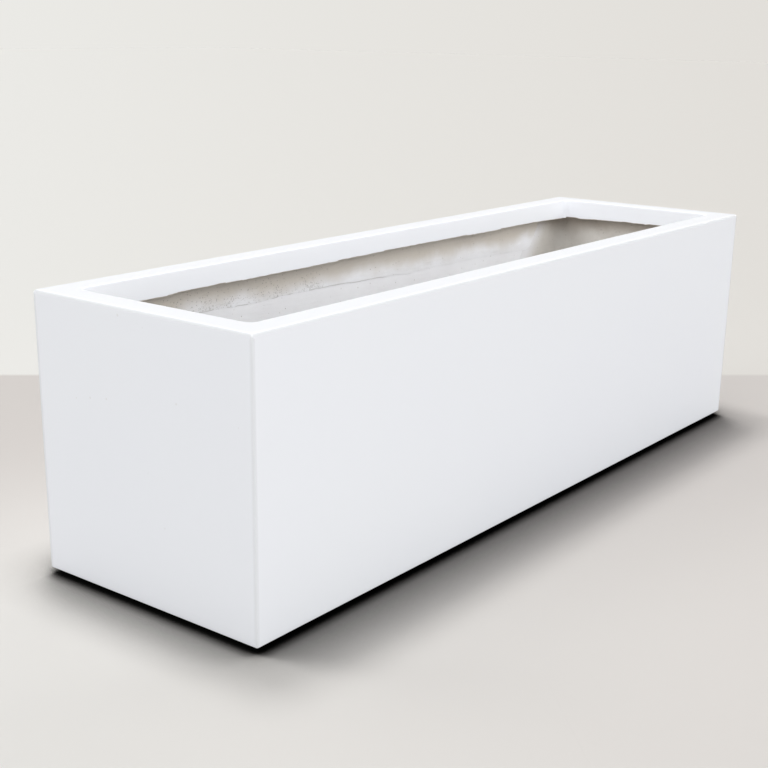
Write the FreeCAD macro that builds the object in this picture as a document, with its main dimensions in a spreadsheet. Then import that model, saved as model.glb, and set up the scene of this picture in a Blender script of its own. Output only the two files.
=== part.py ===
import FreeCAD, Part
# Trough planter: a long box of bonded laminate panels, open at the top, with a flat rim whose lip turns
# down inside. Mat tapes bond the panels from within, three drains let the water out through the base,
# and rubber pads hold the trough off the floor.
# Millimetres, +X along the trough, +Y to its back, +Z up, origin on the floor under its middle.
import os
import re

import Sketcher

SIZES = {
    # Outside of the laminate trough, without its pads
    "trough_length": 1200,
    "trough_width": 350,
    "body_height": 350,
    # Wall panels, and the rounding of the four upright corners
    "wall_thickness": 8,
    "corner_radius": 3,
    # Rim sections: flat top, lip turned down inside, rounding of the top edges and of the mouth's corners
    "rim_width": 35,
    "rim_thickness": 6,
    "rim_edge_radius": 1.5,
    "lip_depth": 29,
    "lip_thickness": 6,
    "lip_corner_radius": 4,
    # Mat laid up inside: lap strips under the rim, corner tapes, base tapes
    "mat_thickness": 2,
    "lap_depth": 74,
    "corner_tape_leg": 95,
    "corner_cove_radius": 24,
    "base_tape_leg": 60,
    "base_cove_radius": 18,
    # Base panel
    "base_thickness": 12,
    # Drains: a flanged bush set in the base, and its plug
    "drain_inset": 200,
    "bush_radius": 16,
    "bush_flange_radius": 26,
    "bush_flange_thickness": 3,
    "drain_bore_radius": 12,
    "bond_gap": 0.1,
    "plug_gap": 0.3,
    "plug_taper": 1.5,
    "plug_shank_length": 12,
    "plug_head_radius": 18,
    "plug_head_thickness": 3.5,
    "plug_tab_length": 24,
    "plug_tab_height": 11,
    "plug_tab_thickness": 6,
    "plug_tab_draft": 3,
    "plug_tab_radius": 2,
    # Foot pads with their screws and washers
    "foot_inset_along": 70,
    "foot_inset_across": 60,
    "pad_radius": 20,
    "pad_draft": 2,
    "pad_web": 3.5,
    "washer_radius": 6,
    "washer_thickness": 1,
    "washer_room": 0.5,
    "screw_radius": 2.1,
    "screw_gap": 0.1,
    "screw_head_radius": 4,
    "screw_head_height": 2.6,
    "screw_head_draft": 0.6,
    "screw_head_room": 0.9,
    "screw_tip_length": 2.5,
    "screw_slot_width": 1.2,
    "screw_slot_depth": 1.2,
    "screw_skin": 3,
}

DERIVED = {
    "half_length": "trough_length / 2",
    "half_width": "trough_width / 2",
    "pad_recess": "screw_head_room + screw_head_height + washer_thickness",
    "pad_height": "pad_recess + pad_web",
    "base_top": "pad_height + base_thickness",
    "rim_top": "pad_height + body_height",
    "rim_underside": "rim_top - rim_thickness",
    # How far a rounded corner falls short of the sharp one along each side, as a share of its radius
    "rounding_share": "1 - sqrt(0.5)",
    "corner_cut": "corner_radius * rounding_share",
    "lip_corner_cut": "lip_corner_radius * rounding_share",
    "corner_tape_foot": "base_top + base_tape_leg",
    "drain_seat": "base_top + bush_flange_thickness",
    "drain_hole_radius": "bush_radius + bond_gap",
    "plug_shank_radius": "drain_bore_radius - plug_gap",
    "screw_hole_radius": "screw_radius + screw_gap",
    "screw_grip": "base_thickness - screw_skin",
    "screw_seat": "pad_recess - washer_thickness",
    "screw_length": "washer_thickness + pad_web + screw_grip",
}

# Each side of the trough: half its outside length, how far its outside face lies from the middle, and how
# a place along the side and a distance outwards turn into X and Y.
SIDES = {
    "front": ("half_length", "half_width", lambda along, out: (along, f"-({out})")),
    "back": ("half_length", "half_width", lambda along, out: (along, out)),
    "left": ("half_width", "half_length", lambda along, out: (f"-({out})", along)),
    "right": ("half_width", "half_length", lambda along, out: (out, along)),
}
CORNERS = {
    "front_left": ("-", "-"),
    "front_right": ("", "-"),
    "back_left": ("-", ""),
    "back_right": ("", ""),
}
DRAINS = {"left": "-(half_length - drain_inset)", "centre": "0", "right": "half_length - drain_inset"}
FOOT_COLUMNS = {
    "left": "-(half_length - foot_inset_along)",
    "centre": "0",
    "right": "half_length - foot_inset_along",
}
FOOT_ROWS = {"front": "-(half_width - foot_inset_across)", "back": "half_width - foot_inset_across"}

# Numbers by which a sketch knows its own axes, and the points of an edge
X_AXIS, Y_AXIS = range(-1, -3, -1)
EDGE_START, EDGE_END, ARC_CENTRE = range(1, 4)
# A sketch's origin is the start of its X axis
ORIGIN = (X_AXIS, EDGE_START)
UP = FreeCAD.Vector(0, 0, 1)
# Lengths that differ by less than this are the same
MATCH = 1e-6

doc = FreeCAD.newDocument("TroughPlanter")
sheet = doc.addObject("Spreadsheet::Sheet", "Sizes")
nodes = []


def fill_sheet():
    """Write every size into the sheet as a plain number, and every derived size as a formula."""
    cells = {alias: str(value) for alias, value in SIZES.items()}
    cells.update({alias: f"={formula}" for alias, formula in DERIVED.items()})
    for row, (alias, text) in enumerate(cells.items(), start=1):
        sheet.set(f"A{row}", alias)
        sheet.set(f"B{row}", text)
        sheet.setAlias(f"B{row}", alias)
    doc.recompute()


def measure(formula):
    """Value of a formula of sheet sizes."""
    return float(sheet.evalExpression(formula))


def on_sheet(formula):
    """The same formula with the sheet named before each alias, for use in other objects."""
    return re.sub(r"[a-z_]{2,}", lambda word: f"{sheet.Name}.{word[0]}", formula)


def point(spot):
    """Point of a sketch from a pair of formulas."""
    return FreeCAD.Vector(measure(spot[0]), measure(spot[1]), 0)


def same(first, second):
    """Whether two lengths are the same."""
    return abs(first - second) < MATCH


def keep(piece, name):
    """Give a finished piece the name of its node and put it on the list to write."""
    piece.Label = name
    nodes.append(piece)


def new_body(name):
    """Empty body for one piece."""
    return doc.addObject("PartDesign::Body", f"{name}_body")


def place(piece, x="0", y="0", z="0"):
    """Bind a piece's position to three formulas."""
    for axis, formula in (("x", x), ("y", y), ("z", z)):
        piece.setExpression(f"Placement.Base.{axis}", on_sheet(formula))


def new_sketch(body, plane, level="0"):
    """Sketch on one of the body's own planes, raised to a level along that plane's normal."""
    sketch = body.newObject("Sketcher::SketchObject", f"{body.Name}_sketch")
    support = next(feature for feature in body.Origin.OriginFeatures if feature.Role == plane)
    sketch.AttachmentSupport = [(support, "")]
    sketch.MapMode = "FlatFace"
    sketch.setExpression("AttachmentOffset.Base.z", on_sheet(level))
    return sketch


def pin(sketch, edge, end, spot):
    """Hold one point of an edge at a pair of formulas, measured from the sketch's origin."""
    for direction, zero_axis, formula in (("DistanceX", Y_AXIS, spot[0]), ("DistanceY", X_AXIS, spot[1])):
        value = measure(formula)
        if value == 0:
            sketch.addConstraint(Sketcher.Constraint("PointOnObject", edge, end, zero_axis))
            continue
        ends = (*ORIGIN, edge, end) if value > 0 else (edge, end, *ORIGIN)
        signed = formula if value > 0 else f"-({formula})"
        index = sketch.addConstraint(Sketcher.Constraint(direction, *ends, abs(value)))
        sketch.setExpression(f"Constraints[{index}]", on_sheet(signed))


def set_radius(sketch, edge, radius):
    """Bind the radius of an arc or a circle to a formula."""
    index = sketch.addConstraint(Sketcher.Constraint("Radius", edge, measure(radius)))
    sketch.setExpression(f"Constraints[{index}]", on_sheet(radius))


def outline(sketch, spots, arcs=None):
    """Closed outline through spots, each a pair of formulas.

    arcs gives, for the number of a spot, the centre and radius of an arc that leaves it in place of a line.
    """
    arcs = arcs or {}
    starts, finishes = [], []
    for number, spot in enumerate(spots):
        first, last = point(spot), point(spots[(number + 1) % len(spots)])
        if number in arcs:
            centre, radius = arcs[number]
            middle = (first + last) / 2 - point(centre)
            crown = point(centre) + middle.normalize() * measure(radius)
            edge = sketch.addGeometry(Part.Arc(first, crown, last))
            set_radius(sketch, edge, radius)
        else:
            edge = sketch.addGeometry(Part.LineSegment(first, last))
        # An arc is kept anticlockwise, so it may run from the next spot back to this one
        forwards = same(sketch.getPoint(edge, EDGE_START).distanceToPoint(first), 0)
        starts.append((edge, EDGE_START if forwards else EDGE_END))
        finishes.append((edge, EDGE_END if forwards else EDGE_START))
    for number, spot in enumerate(spots):
        pin(sketch, *starts[number], spot)
        sketch.addConstraint(Sketcher.Constraint("Coincident", *finishes[number - 1], *starts[number]))


def pad(body, sketch, height, downwards=False, both_ways=False):
    """Pad a sketch by a formula."""
    feature = body.newObject("PartDesign::Pad", f"{body.Name}_pad")
    feature.Profile = sketch
    feature.Reversed = downwards
    if both_ways:
        feature.SideType = "Symmetric"
    feature.setExpression("Length", on_sheet(height))
    doc.recompute()


def pocket(body, sketch, depth):
    """Cut a sketch upwards into the body by a formula, and make sure that it bites."""
    before = body.Shape.Volume
    feature = body.newObject("PartDesign::Pocket", f"{body.Name}_pocket")
    feature.Profile = sketch
    feature.Reversed = True
    feature.setExpression("Length", on_sheet(depth))
    doc.recompute()
    if not body.Shape.Volume < before:
        raise RuntimeError(f"{feature.Name} cuts nothing")


def round_edges(body, radius, chosen):
    """Fillet the edges of the body's last feature that a test picks."""
    base = body.Tip
    names = [f"Edge{number}" for number, edge in enumerate(base.Shape.Edges, start=1) if chosen(edge)]
    if not names:
        raise RuntimeError(f"no edge to round on {body.Name}")
    feature = body.newObject("PartDesign::Fillet", f"{body.Name}_fillet")
    feature.Base = (base, names)
    feature.setExpression("Radius", on_sheet(radius))
    doc.recompute()


def turned(name, profile):
    """Body of revolution about Z from a profile of radius and height."""
    body = new_body(name)
    sketch = new_sketch(body, "XZ_Plane")
    outline(sketch, profile)
    feature = body.newObject("PartDesign::Revolution", f"{body.Name}_revolution")
    feature.Profile = sketch
    feature.ReferenceAxis = (sketch, ["V_Axis"])
    doc.recompute()
    return body


def mitred_outline(sketch, side, outer, inner, outer_round=None, inner_round=None):
    """Plan of a straight run along one side, mitred at both ends.

    outer and inner are how far its two faces lie inside the trough's outside face. outer_round and
    inner_round are a radius and the cut that it makes: half of each rounded corner belongs to the run.
    """
    reach, face, turn = SIDES[side]
    right = []
    if outer_round:
        radius, cut = outer_round
        right.append((f"{reach} - {outer} - {radius}", f"{face} - {outer}"))
        right.append((f"{reach} - {outer} - {cut}", f"{face} - {outer} - {cut}"))
    else:
        right.append((f"{reach} - {outer}", f"{face} - {outer}"))
    if inner_round:
        radius, cut = inner_round
        right.append((f"{reach} - {inner} - {cut}", f"{face} - {inner} - {cut}"))
        right.append((f"{reach} - {inner} - {radius}", f"{face} - {inner}"))
    else:
        right.append((f"{reach} - {inner}", f"{face} - {inner}"))
    left = [(f"-({along})", out) for along, out in reversed(right)]
    arcs = {}
    last = len(right) + len(left) - 1
    if outer_round:
        radius = outer_round[0]
        along, out = f"{reach} - {outer} - {radius}", f"{face} - {outer} - {radius}"
        arcs[0] = (turn(along, out), radius)
        arcs[last - 1] = (turn(f"-({along})", out), radius)
    if inner_round:
        radius = inner_round[0]
        along, out = f"{reach} - {inner} - {radius}", f"{face} - {inner} - {radius}"
        arcs[len(right) - 2] = (turn(along, out), radius)
        arcs[len(right)] = (turn(f"-({along})", out), radius)
    outline(sketch, [turn(*spot) for spot in right + left], arcs)


def wall(side, name):
    """Wall panel of one side, from the bottom of the body to the underside of the rim."""
    body = new_body(name)
    sketch = new_sketch(body, "XY_Plane", "pad_height")
    mitred_outline(sketch, side, "0", "wall_thickness", ("corner_radius", "corner_cut"))
    pad(body, sketch, "body_height - rim_thickness")
    keep(body, name)


def rim_section(side):
    """Rim of one side: a flat top that caps the wall, and the lip that turns down inside it."""
    body = new_body(f"{side}_rim")
    mouth_round = ("lip_corner_radius", "lip_corner_cut")
    top = new_sketch(body, "XY_Plane", "rim_underside")
    mitred_outline(top, side, "0", "rim_width", ("corner_radius", "corner_cut"), mouth_round)
    pad(body, top, "rim_thickness")
    lip = new_sketch(body, "XY_Plane", "rim_underside")
    mitred_outline(lip, side, "(rim_width - lip_thickness)", "rim_width", None, mouth_round)
    pad(body, lip, "lip_depth - rim_thickness", downwards=True)
    level = measure("rim_top")

    def is_top_edge(edge):
        """Edges round the top face, except the two that lie along the mitres."""
        if not all(same(vertex.Z, level) for vertex in edge.Vertexes):
            return False
        run = edge.Vertexes[-1].Point - edge.Vertexes[0].Point
        return not same(abs(run.x), abs(run.y))

    round_edges(body, "rim_edge_radius", is_top_edge)
    keep(body, f"{side}_rim")


def lap_strip(side):
    """Strip of mat on the wall under the rim, between the two corner tapes."""
    body = new_body(f"{side}_lap_strip")
    reach, face, turn = SIDES[side]
    end = f"{reach} - wall_thickness - corner_tape_leg"
    near = f"{face} - wall_thickness"
    far = f"{face} - wall_thickness - mat_thickness"
    sketch = new_sketch(body, "XY_Plane", "rim_underside")
    outline(sketch, [turn(f"-({end})", near), turn(end, near), turn(end, far), turn(f"-({end})", far)])
    pad(body, sketch, "lap_depth - rim_thickness", downwards=True)
    keep(body, f"{side}_lap_strip")


def corner_tape(corner):
    """Angle of mat in one inner corner, coved, from the base tapes up to the rim."""
    body = new_body(f"{corner}_corner_tape")
    x_sign, y_sign = CORNERS[corner]
    x_face, y_face = "half_length - wall_thickness", "half_width - wall_thickness"
    inside = "mat_thickness"
    plan = [
        (x_face, y_face),
        (f"{x_face} - corner_tape_leg", y_face),
        (f"{x_face} - corner_tape_leg", f"{y_face} - {inside}"),
        (f"{x_face} - {inside}", f"{y_face} - {inside}"),
        (f"{x_face} - {inside}", f"{y_face} - corner_tape_leg"),
        (x_face, f"{y_face} - corner_tape_leg"),
    ]
    sketch = new_sketch(body, "XY_Plane", "corner_tape_foot")
    outline(sketch, [(f"{x_sign}({x})", f"{y_sign}({y})") for x, y in plan])
    pad(body, sketch, "rim_underside - corner_tape_foot")
    hollow = (measure(f"{x_sign}({plan[3][0]})"), measure(f"{y_sign}({plan[3][1]})"))

    def is_hollow_edge(edge):
        """The upright edge in the hollow of the angle."""
        return all(same(vertex.X, hollow[0]) and same(vertex.Y, hollow[1]) for vertex in edge.Vertexes)

    round_edges(body, "corner_cove_radius", is_hollow_edge)
    keep(body, f"{corner}_corner_tape")


def base_tape(side):
    """Angle of mat that bonds the base panel to one wall, coved, mitred at the corners."""
    body = new_body(f"{side}_base_tape")
    flat = new_sketch(body, "XY_Plane", "base_top")
    mitred_outline(flat, side, "wall_thickness", "(wall_thickness + base_tape_leg)")
    pad(body, flat, "mat_thickness")
    upright = new_sketch(body, "XY_Plane", "base_top")
    mitred_outline(upright, side, "wall_thickness", "(wall_thickness + mat_thickness)")
    pad(body, upright, "base_tape_leg")
    face, turn = SIDES[side][1:]
    level = measure("base_top + mat_thickness")
    hollow = [measure(formula) for formula in turn("0", f"{face} - wall_thickness - mat_thickness")]
    across = 1 if side in ("front", "back") else 0

    def is_hollow_edge(edge):
        """The long edge in the hollow of the angle."""
        ends = [vertex.Point for vertex in edge.Vertexes]
        return all(same(end.z, level) and same(end[across], hollow[across]) for end in ends)

    round_edges(body, "base_cove_radius", is_hollow_edge)
    keep(body, f"{side}_base_tape")


def base_panel():
    """Base between the walls, bored for the drain bushes and, from below, for the foot screws."""
    body = new_body("base_panel")
    sketch = new_sketch(body, "XY_Plane", "pad_height")
    x_face, y_face = "half_length - wall_thickness", "half_width - wall_thickness"
    plan = [(f"{x}({x_face})", f"{y}({y_face})") for x, y in (("-", "-"), ("", "-"), ("", ""), ("-", ""))]
    outline(sketch, plan)
    pad(body, sketch, "base_thickness")
    drains = [(x, "0") for x in DRAINS.values()]
    pocket(body, holes(body, drains, "drain_hole_radius"), "base_thickness")
    feet = [(x, y) for x in FOOT_COLUMNS.values() for y in FOOT_ROWS.values()]
    pocket(body, holes(body, feet, "screw_hole_radius"), "screw_grip + screw_gap")
    keep(body, "base_panel")


def holes(body, spots, radius):
    """Sketch of equal circles on the underside of the base."""
    sketch = new_sketch(body, "XY_Plane", "pad_height")
    for spot in spots:
        edge = sketch.addGeometry(Part.Circle(point(spot), UP, measure(radius)))
        pin(sketch, edge, ARC_CENTRE, spot)
        set_radius(sketch, edge, radius)
    return sketch


def drain_bush(where):
    """Flanged bush that lines a drain hole; its flange lies on the base."""
    profile = [
        ("drain_bore_radius", "-base_thickness"),
        ("bush_radius", "-base_thickness"),
        ("bush_radius", "0"),
        ("bush_flange_radius", "0"),
        ("bush_flange_radius", "bush_flange_thickness"),
        ("drain_bore_radius", "bush_flange_thickness"),
    ]
    body = turned(f"{where}_drain_bush", profile)
    place(body, x=DRAINS[where], z="base_top")
    keep(body, f"{where}_drain_bush")


def drain_plug(where):
    """Rubber plug: a tapered shank in the bush, a head that sits on its flange, and a tab to pull."""
    profile = [
        ("0", "-plug_shank_length"),
        ("plug_shank_radius - plug_taper", "-plug_shank_length"),
        ("plug_shank_radius", "0"),
        ("plug_head_radius", "0"),
        ("plug_head_radius", "plug_head_thickness"),
        ("0", "plug_head_thickness"),
    ]
    body = turned(f"{where}_drain_plug", profile)
    tab = new_sketch(body, "XZ_Plane")
    foot, crown = "plug_tab_length / 2", "plug_tab_length / 2 - plug_tab_draft"
    top = "plug_head_thickness + plug_tab_height"
    outline(tab, [
        (f"-({foot})", "plug_head_thickness"),
        (foot, "plug_head_thickness"),
        (crown, top),
        (f"-({crown})", top),
    ])
    pad(body, tab, "plug_tab_thickness", both_ways=True)
    level = measure(top)

    def is_crown_edge(edge):
        """The edges round the top of the tab."""
        return all(same(vertex.Z, level) for vertex in edge.Vertexes)

    round_edges(body, "plug_tab_radius", is_crown_edge)
    place(body, x=DRAINS[where], z="drain_seat")
    keep(body, f"{where}_drain_plug")


def foot_pad(row, column):
    """Rubber pad under the base, recessed from below for its washer and screw head."""
    profile = [
        ("washer_radius + washer_room", "0"),
        ("pad_radius - pad_draft", "0"),
        ("pad_radius", "pad_height"),
        ("screw_hole_radius", "pad_height"),
        ("screw_hole_radius", "pad_recess"),
        ("washer_radius + washer_room", "pad_recess"),
    ]
    body = turned(f"{row}_{column}_foot_pad", profile)
    place(body, x=FOOT_COLUMNS[column], y=FOOT_ROWS[row])
    keep(body, f"{row}_{column}_foot_pad")


def foot_washer(row, column):
    """Flat washer under the web of a foot pad."""
    profile = [
        ("screw_hole_radius", "0"),
        ("washer_radius", "0"),
        ("washer_radius", "washer_thickness"),
        ("screw_hole_radius", "washer_thickness"),
    ]
    body = turned(f"{row}_{column}_foot_washer", profile)
    place(body, x=FOOT_COLUMNS[column], y=FOOT_ROWS[row], z="screw_seat")
    return body


def foot_screw(row, column):
    """Slotted pan-head screw that goes up through the washer and the pad into the base."""
    profile = [
        ("0", "-screw_head_height"),
        ("screw_head_radius - screw_head_draft", "-screw_head_height"),
        ("screw_head_radius", "0"),
        ("screw_radius", "0"),
        ("screw_radius", "screw_length - screw_tip_length"),
        ("0", "screw_length"),
    ]
    body = turned(f"{row}_{column}_foot_screw", profile)
    slot = new_sketch(body, "XY_Plane", "-screw_head_height")
    end, edge = "screw_head_radius", "screw_slot_width / 2"
    outline(slot, [(f"-{end}", f"-({edge})"), (end, f"-({edge})"), (end, edge), (f"-{end}", edge)])
    pocket(body, slot, "screw_slot_depth")
    place(body, x=FOOT_COLUMNS[column], y=FOOT_ROWS[row], z="screw_seat")
    return body


def fastener_group(name, make):
    """One node of equal fasteners, one at every foot."""
    group = doc.addObject("Part::Compound", f"{name}_group")
    group.Links = [make(row, column) for row in FOOT_ROWS for column in FOOT_COLUMNS]
    keep(group, name)


def build():
    """Make every piece, from the panels inwards and down to the feet."""
    for side, name in (("front", "front_wall"), ("back", "back_wall"),
                       ("left", "left_end_wall"), ("right", "right_end_wall")):
        wall(side, name)
    base_panel()
    for side in SIDES:
        rim_section(side)
        lap_strip(side)
        base_tape(side)
    for corner in CORNERS:
        corner_tape(corner)
    for where in DRAINS:
        drain_bush(where)
        drain_plug(where)
    for row in FOOT_ROWS:
        for column in FOOT_COLUMNS:
            foot_pad(row, column)
    fastener_group("foot_washers", foot_washer)
    fastener_group("foot_screws", foot_screw)
    doc.recompute()


def check():
    """Stop if any object failed to build or any piece has no sound shape."""
    for item in doc.Objects:
        if {"Invalid", "Error"} & set(item.State):
            raise RuntimeError(f"{item.Label} is {item.State}")
    for piece in nodes:
        if piece.Shape.isNull() or not piece.Shape.isValid() or not piece.Shape.Solids:
            raise RuntimeError(f"{piece.Label} has no sound shape")


def write():
    """Write each piece to its own file, named after its node."""
    os.makedirs("parts", exist_ok=True)
    for piece in nodes:
        piece.Shape.exportStep(f"parts/{piece.Label}.step")
        print(f"{piece.Label}: {len(piece.Shape.Solids)} solid, {piece.Shape.Volume:.0f} mm3")


fill_sheet()
build()
check()
write()
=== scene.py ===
"""Looks of a laminate trough planter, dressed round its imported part.

The part gives the sizes and places. Each group of pieces is a class, and its meshes are surfaces worked out
as whole arrays: a profile carried along the four sides, a plan carried up the corners, or rings stacked on
an upright axis. Metres, +X along the trough, +Y to its back, +Z up.
"""
import logging
import math
from collections.abc import Callable
from dataclasses import dataclass, field
from enum import Enum, IntEnum

import bpy
import numpy as np
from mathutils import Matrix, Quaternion, Vector


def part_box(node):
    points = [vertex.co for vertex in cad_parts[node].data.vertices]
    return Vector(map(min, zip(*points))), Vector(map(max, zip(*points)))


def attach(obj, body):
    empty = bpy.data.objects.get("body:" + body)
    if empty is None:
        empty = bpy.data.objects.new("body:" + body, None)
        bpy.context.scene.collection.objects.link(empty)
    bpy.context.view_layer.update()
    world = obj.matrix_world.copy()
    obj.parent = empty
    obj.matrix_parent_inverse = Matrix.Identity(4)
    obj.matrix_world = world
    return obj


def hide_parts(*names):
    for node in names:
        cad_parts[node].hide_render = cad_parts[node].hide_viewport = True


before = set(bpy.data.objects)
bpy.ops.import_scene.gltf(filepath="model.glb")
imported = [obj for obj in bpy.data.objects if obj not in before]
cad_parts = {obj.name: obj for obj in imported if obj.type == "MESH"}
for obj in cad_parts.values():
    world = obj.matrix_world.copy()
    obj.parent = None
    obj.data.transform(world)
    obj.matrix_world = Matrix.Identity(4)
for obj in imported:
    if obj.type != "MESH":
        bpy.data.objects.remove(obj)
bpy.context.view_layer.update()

LOG = logging.getLogger("trough")
MM = 0.001
WELD_GAP = 0.001 * MM
QUARTER_TURN = math.pi / 2
SHARP_EDGE = math.radians(40)
Array = np.ndarray
Pair = tuple[float, float]
Colour = tuple[float, float, float, float]
Tree = bpy.types.NodeTree
Socket = bpy.types.NodeSocket
Marks = bpy.types.NodeOutputs
Material = bpy.types.Material


def tone(*screen: int) -> Colour:
    """Turn a screen colour of 0 to 255 into a shader's linear colour, by the screen's own curve."""
    share = np.array(screen) / 255
    return (*np.where(share <= 0.04045, share / 12.92, ((share + 0.055) / 1.055) ** 2.4).tolist(), 1.0)


def ramp(value: Array, start: float, end: float) -> Array:
    """Rise smoothly from 0 at start to 1 at end, as 3t^2 - 2t^3 of the share t between them."""
    share = np.clip((value - start) / (end - start), 0, 1)
    return share * share * (3 - 2 * share)


def from_least(least: float, share: Array) -> Array:
    """Go from least at a share of 0 evenly to 1 at a share of 1."""
    return least + (1 - least) * share


class Grain:
    """Seeded noise on a plane, read as whole arrays at places u and v along its two directions.

    SMOOTH, ROUGH, UNEVEN and TORN are the counts of waves that such surfaces and edges are made of.
    """

    LATTICE = 256
    LEAST_PIT = 0.12
    PIT_GROWTH = 0.35
    SMOOTH, ROUGH, UNEVEN, TORN = 2, 3, 4, 5

    def __init__(self, seed: int) -> None:
        """Draw the lattice's heights, and the place and strength of one pit in each of its squares."""
        draw = np.random.default_rng(seed)
        self.heights = draw.uniform(-1, 1, (self.LATTICE, self.LATTICE))
        self.spots = draw.uniform(0, 1, (self.LATTICE, self.LATTICE, 3))

    def squares(self, u: Array, v: Array | float, pitch: float) -> tuple[Array, Array, Array, Array]:
        """Places in units of the pitch, and the column and row of the square that each lies in."""
        a, b = np.broadcast_arrays(u / pitch, v / pitch)
        return a, b, np.floor(a).astype(int), np.floor(b).astype(int)

    def wave(self, u: Array, v: Array | float, pitch: float) -> Array:
        """Blend the heights of the four lattice points round each place by smooth steps.

        Args:
            u, v: Places.
            pitch: Distance between lattice points.

        Returns:
            Heights from -1 to 1.
        """
        a, b, i, j = self.squares(u, v, pitch)
        s, t = ramp(a - i, 0, 1), ramp(b - j, 0, 1)
        i, j, i_next, j_next = (k % self.LATTICE for k in (i, j, i + 1, j + 1))
        low = self.heights[i, j] * (1 - s) + self.heights[i_next, j] * s
        high = self.heights[i, j_next] * (1 - s) + self.heights[i_next, j_next] * s
        return low * (1 - t) + high * t

    def layers(self, u: Array, v: Array | float, pitch: float, count: int) -> Array:
        """Add a count of waves, each with half the pitch and half the height of the one before."""
        return sum(self.wave(u + k * pitch, v, pitch / 2**k) / 2**k for k in range(count))

    def pits(self, u: Array, v: Array, pitch: float, share: float) -> Array:
        """Sink round pits, one at a random place in some of the lattice's squares.

        A pit is 1 deep in its middle and shallower by the square of the distance, to 0 at its edge.

        Args:
            u, v: Places.
            pitch: Width of a square.
            share: Share of the squares that hold a pit.

        Returns:
            Depths from 0 to 1.
        """
        a, b, i, j = self.squares(u, v, pitch)
        depth = np.zeros(a.shape)
        for i_step, j_step in np.ndindex(3, 3):
            column, row = i + i_step - 1, j + j_step - 1
            spot = self.spots[column % self.LATTICE, row % self.LATTICE]
            gap = np.hypot(a - column - spot[..., 0], b - row - spot[..., 1])
            radius = self.LEAST_PIT + self.PIT_GROWTH * spot[..., 2] / share
            depth = np.maximum(depth, np.clip(1 - (gap / radius) ** 2, 0, 1) * (spot[..., 2] < share))
        return depth


@dataclass
class Skin:
    """One closed surface: points, faces with the numbers of their finishes, flat ends and marks."""

    points: Array
    quads: Array
    finishes: Array
    ends: list[Array] = field(default_factory=list)
    end_finish: int = 0
    marks: dict[str, Array] = field(default_factory=dict)

    def volume(self) -> float:
        """Add up the tetrahedra from the origin to each face's triangles.

        Returns:
            Volume, below zero where the faces point inwards.
        """
        fans = [self.quads[:, [0, 1, 2]], self.quads[:, [0, 2, 3]]]
        for end in self.ends:
            fans.append(np.stack([np.full(end.size - 2, end[0]), end[1:-1], end[2:]], axis=1))
        first, second, third = np.moveaxis(self.points[np.concatenate(fans)], 1, 0)
        return float(np.einsum("ij,ij->", first, np.cross(second, third)) / 6)

    def face_outwards(self) -> "Skin":
        """Turn every face round if the surface is inside out, and give the surface back."""
        if self.volume() < 0:
            self.quads = self.quads[:, ::-1]
            self.ends = [end[::-1] for end in self.ends]
        return self


def grid_faces(rows: int, columns: int) -> tuple[Array, Array]:
    """Number a grid's points, and join each to its neighbours, the last row and column to the first.

    Args:
        rows: Rows of points.
        columns: Points of a row.

    Returns:
        Numbers of shape (rows, columns), and faces of shape (rows, columns, 4).
    """
    index = np.arange(rows * columns).reshape(rows, columns)
    beside = np.roll(index, -1, axis=1)
    after, beside_after = (np.roll(numbers, -1, axis=0) for numbers in (index, beside))
    return index, np.stack([index, beside, beside_after, after], axis=-1)


def carry(points: Array, finishes: Array | int = 0, end_finish: int = 0, ring: bool = False) -> Skin:
    """Join rows of points, each a closed outline, into a closed surface.

    Faces of four points join each row to the next. Either the last row joins the first, or both get a flat
    end face.

    Args:
        points: Rows of outline points, of shape (rows, columns, 3).
        finishes: Number of the finish of each column of faces, or of them all.
        end_finish: Number of the finish of the end faces.
        ring: Whether the last row joins the first.

    Returns:
        The closed surface.
    """
    index, quads = grid_faces(*points.shape[:2])
    ends = [] if ring else [index[0, ::-1], index[-1]]
    quads = quads if ring else quads[:-1]
    painted = np.tile(np.broadcast_to(finishes, index.shape[1]), len(quads))
    return Skin(points.reshape(-1, 3), quads.reshape(-1, 4), painted, ends, end_finish).face_outwards()


def stretch(start: Pair, end: Pair, count: int) -> Array:
    """Points evenly along a straight line, without its last one, of shape (count, 2)."""
    return np.linspace(start, end, count, endpoint=False)


def bend(centre: Pair, radius: float, start: float, end: float, count: int) -> Array:
    """Points evenly along an arc between two angles in degrees, without its last one."""
    angle = np.radians(np.linspace(start, end, count, endpoint=False))
    return np.array(centre) + radius * np.stack([np.cos(angle), np.sin(angle)], axis=-1)


def outline(*parts: tuple[Array, int]) -> tuple[Array, Array, Array]:
    """Join stretches and bends into one closed outline.

    Args:
        parts: Points of each part, with the number of its finish.

    Returns:
        First and second coordinates of the points, and the finish of the face after each point.
    """
    points = np.concatenate([part for part, _ in parts])
    finishes = np.concatenate([np.full(len(part), finish) for part, finish in parts])
    return points[:, 0], points[:, 1], finishes


class Coat(IntEnum):
    """The two finishes of a wall or rim, by their numbers on its faces."""

    GELCOAT = 0
    LAMINATE = 1


class Side(Enum):
    """The four sides, by quarter turns from the front."""

    FRONT = 0
    RIGHT = 1
    BACK = 2
    LEFT = 3

    @property
    def is_long(self) -> bool:
        """Whether the side runs along the trough."""
        return self in (Side.FRONT, Side.BACK)

    def node(self, kind: str) -> str:
        """Name of the side's piece of that kind in the part."""
        return f"{self.name.lower()}_{kind}"

    def turn(self, along: Array, out: Array, height: Array) -> Array:
        """Place points by quarter turns of the front, where along is +X and out is -Y.

        Args:
            along: Places along the side.
            out: Distances from the trough's middle.
            height: Heights.

        Returns:
            Points, with the coordinates on the last axis.
        """
        x, y = along, -out
        for _ in range(self.value):
            x, y = -y, x
        return np.stack(np.broadcast_arrays(x, y, height), axis=-1)


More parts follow.
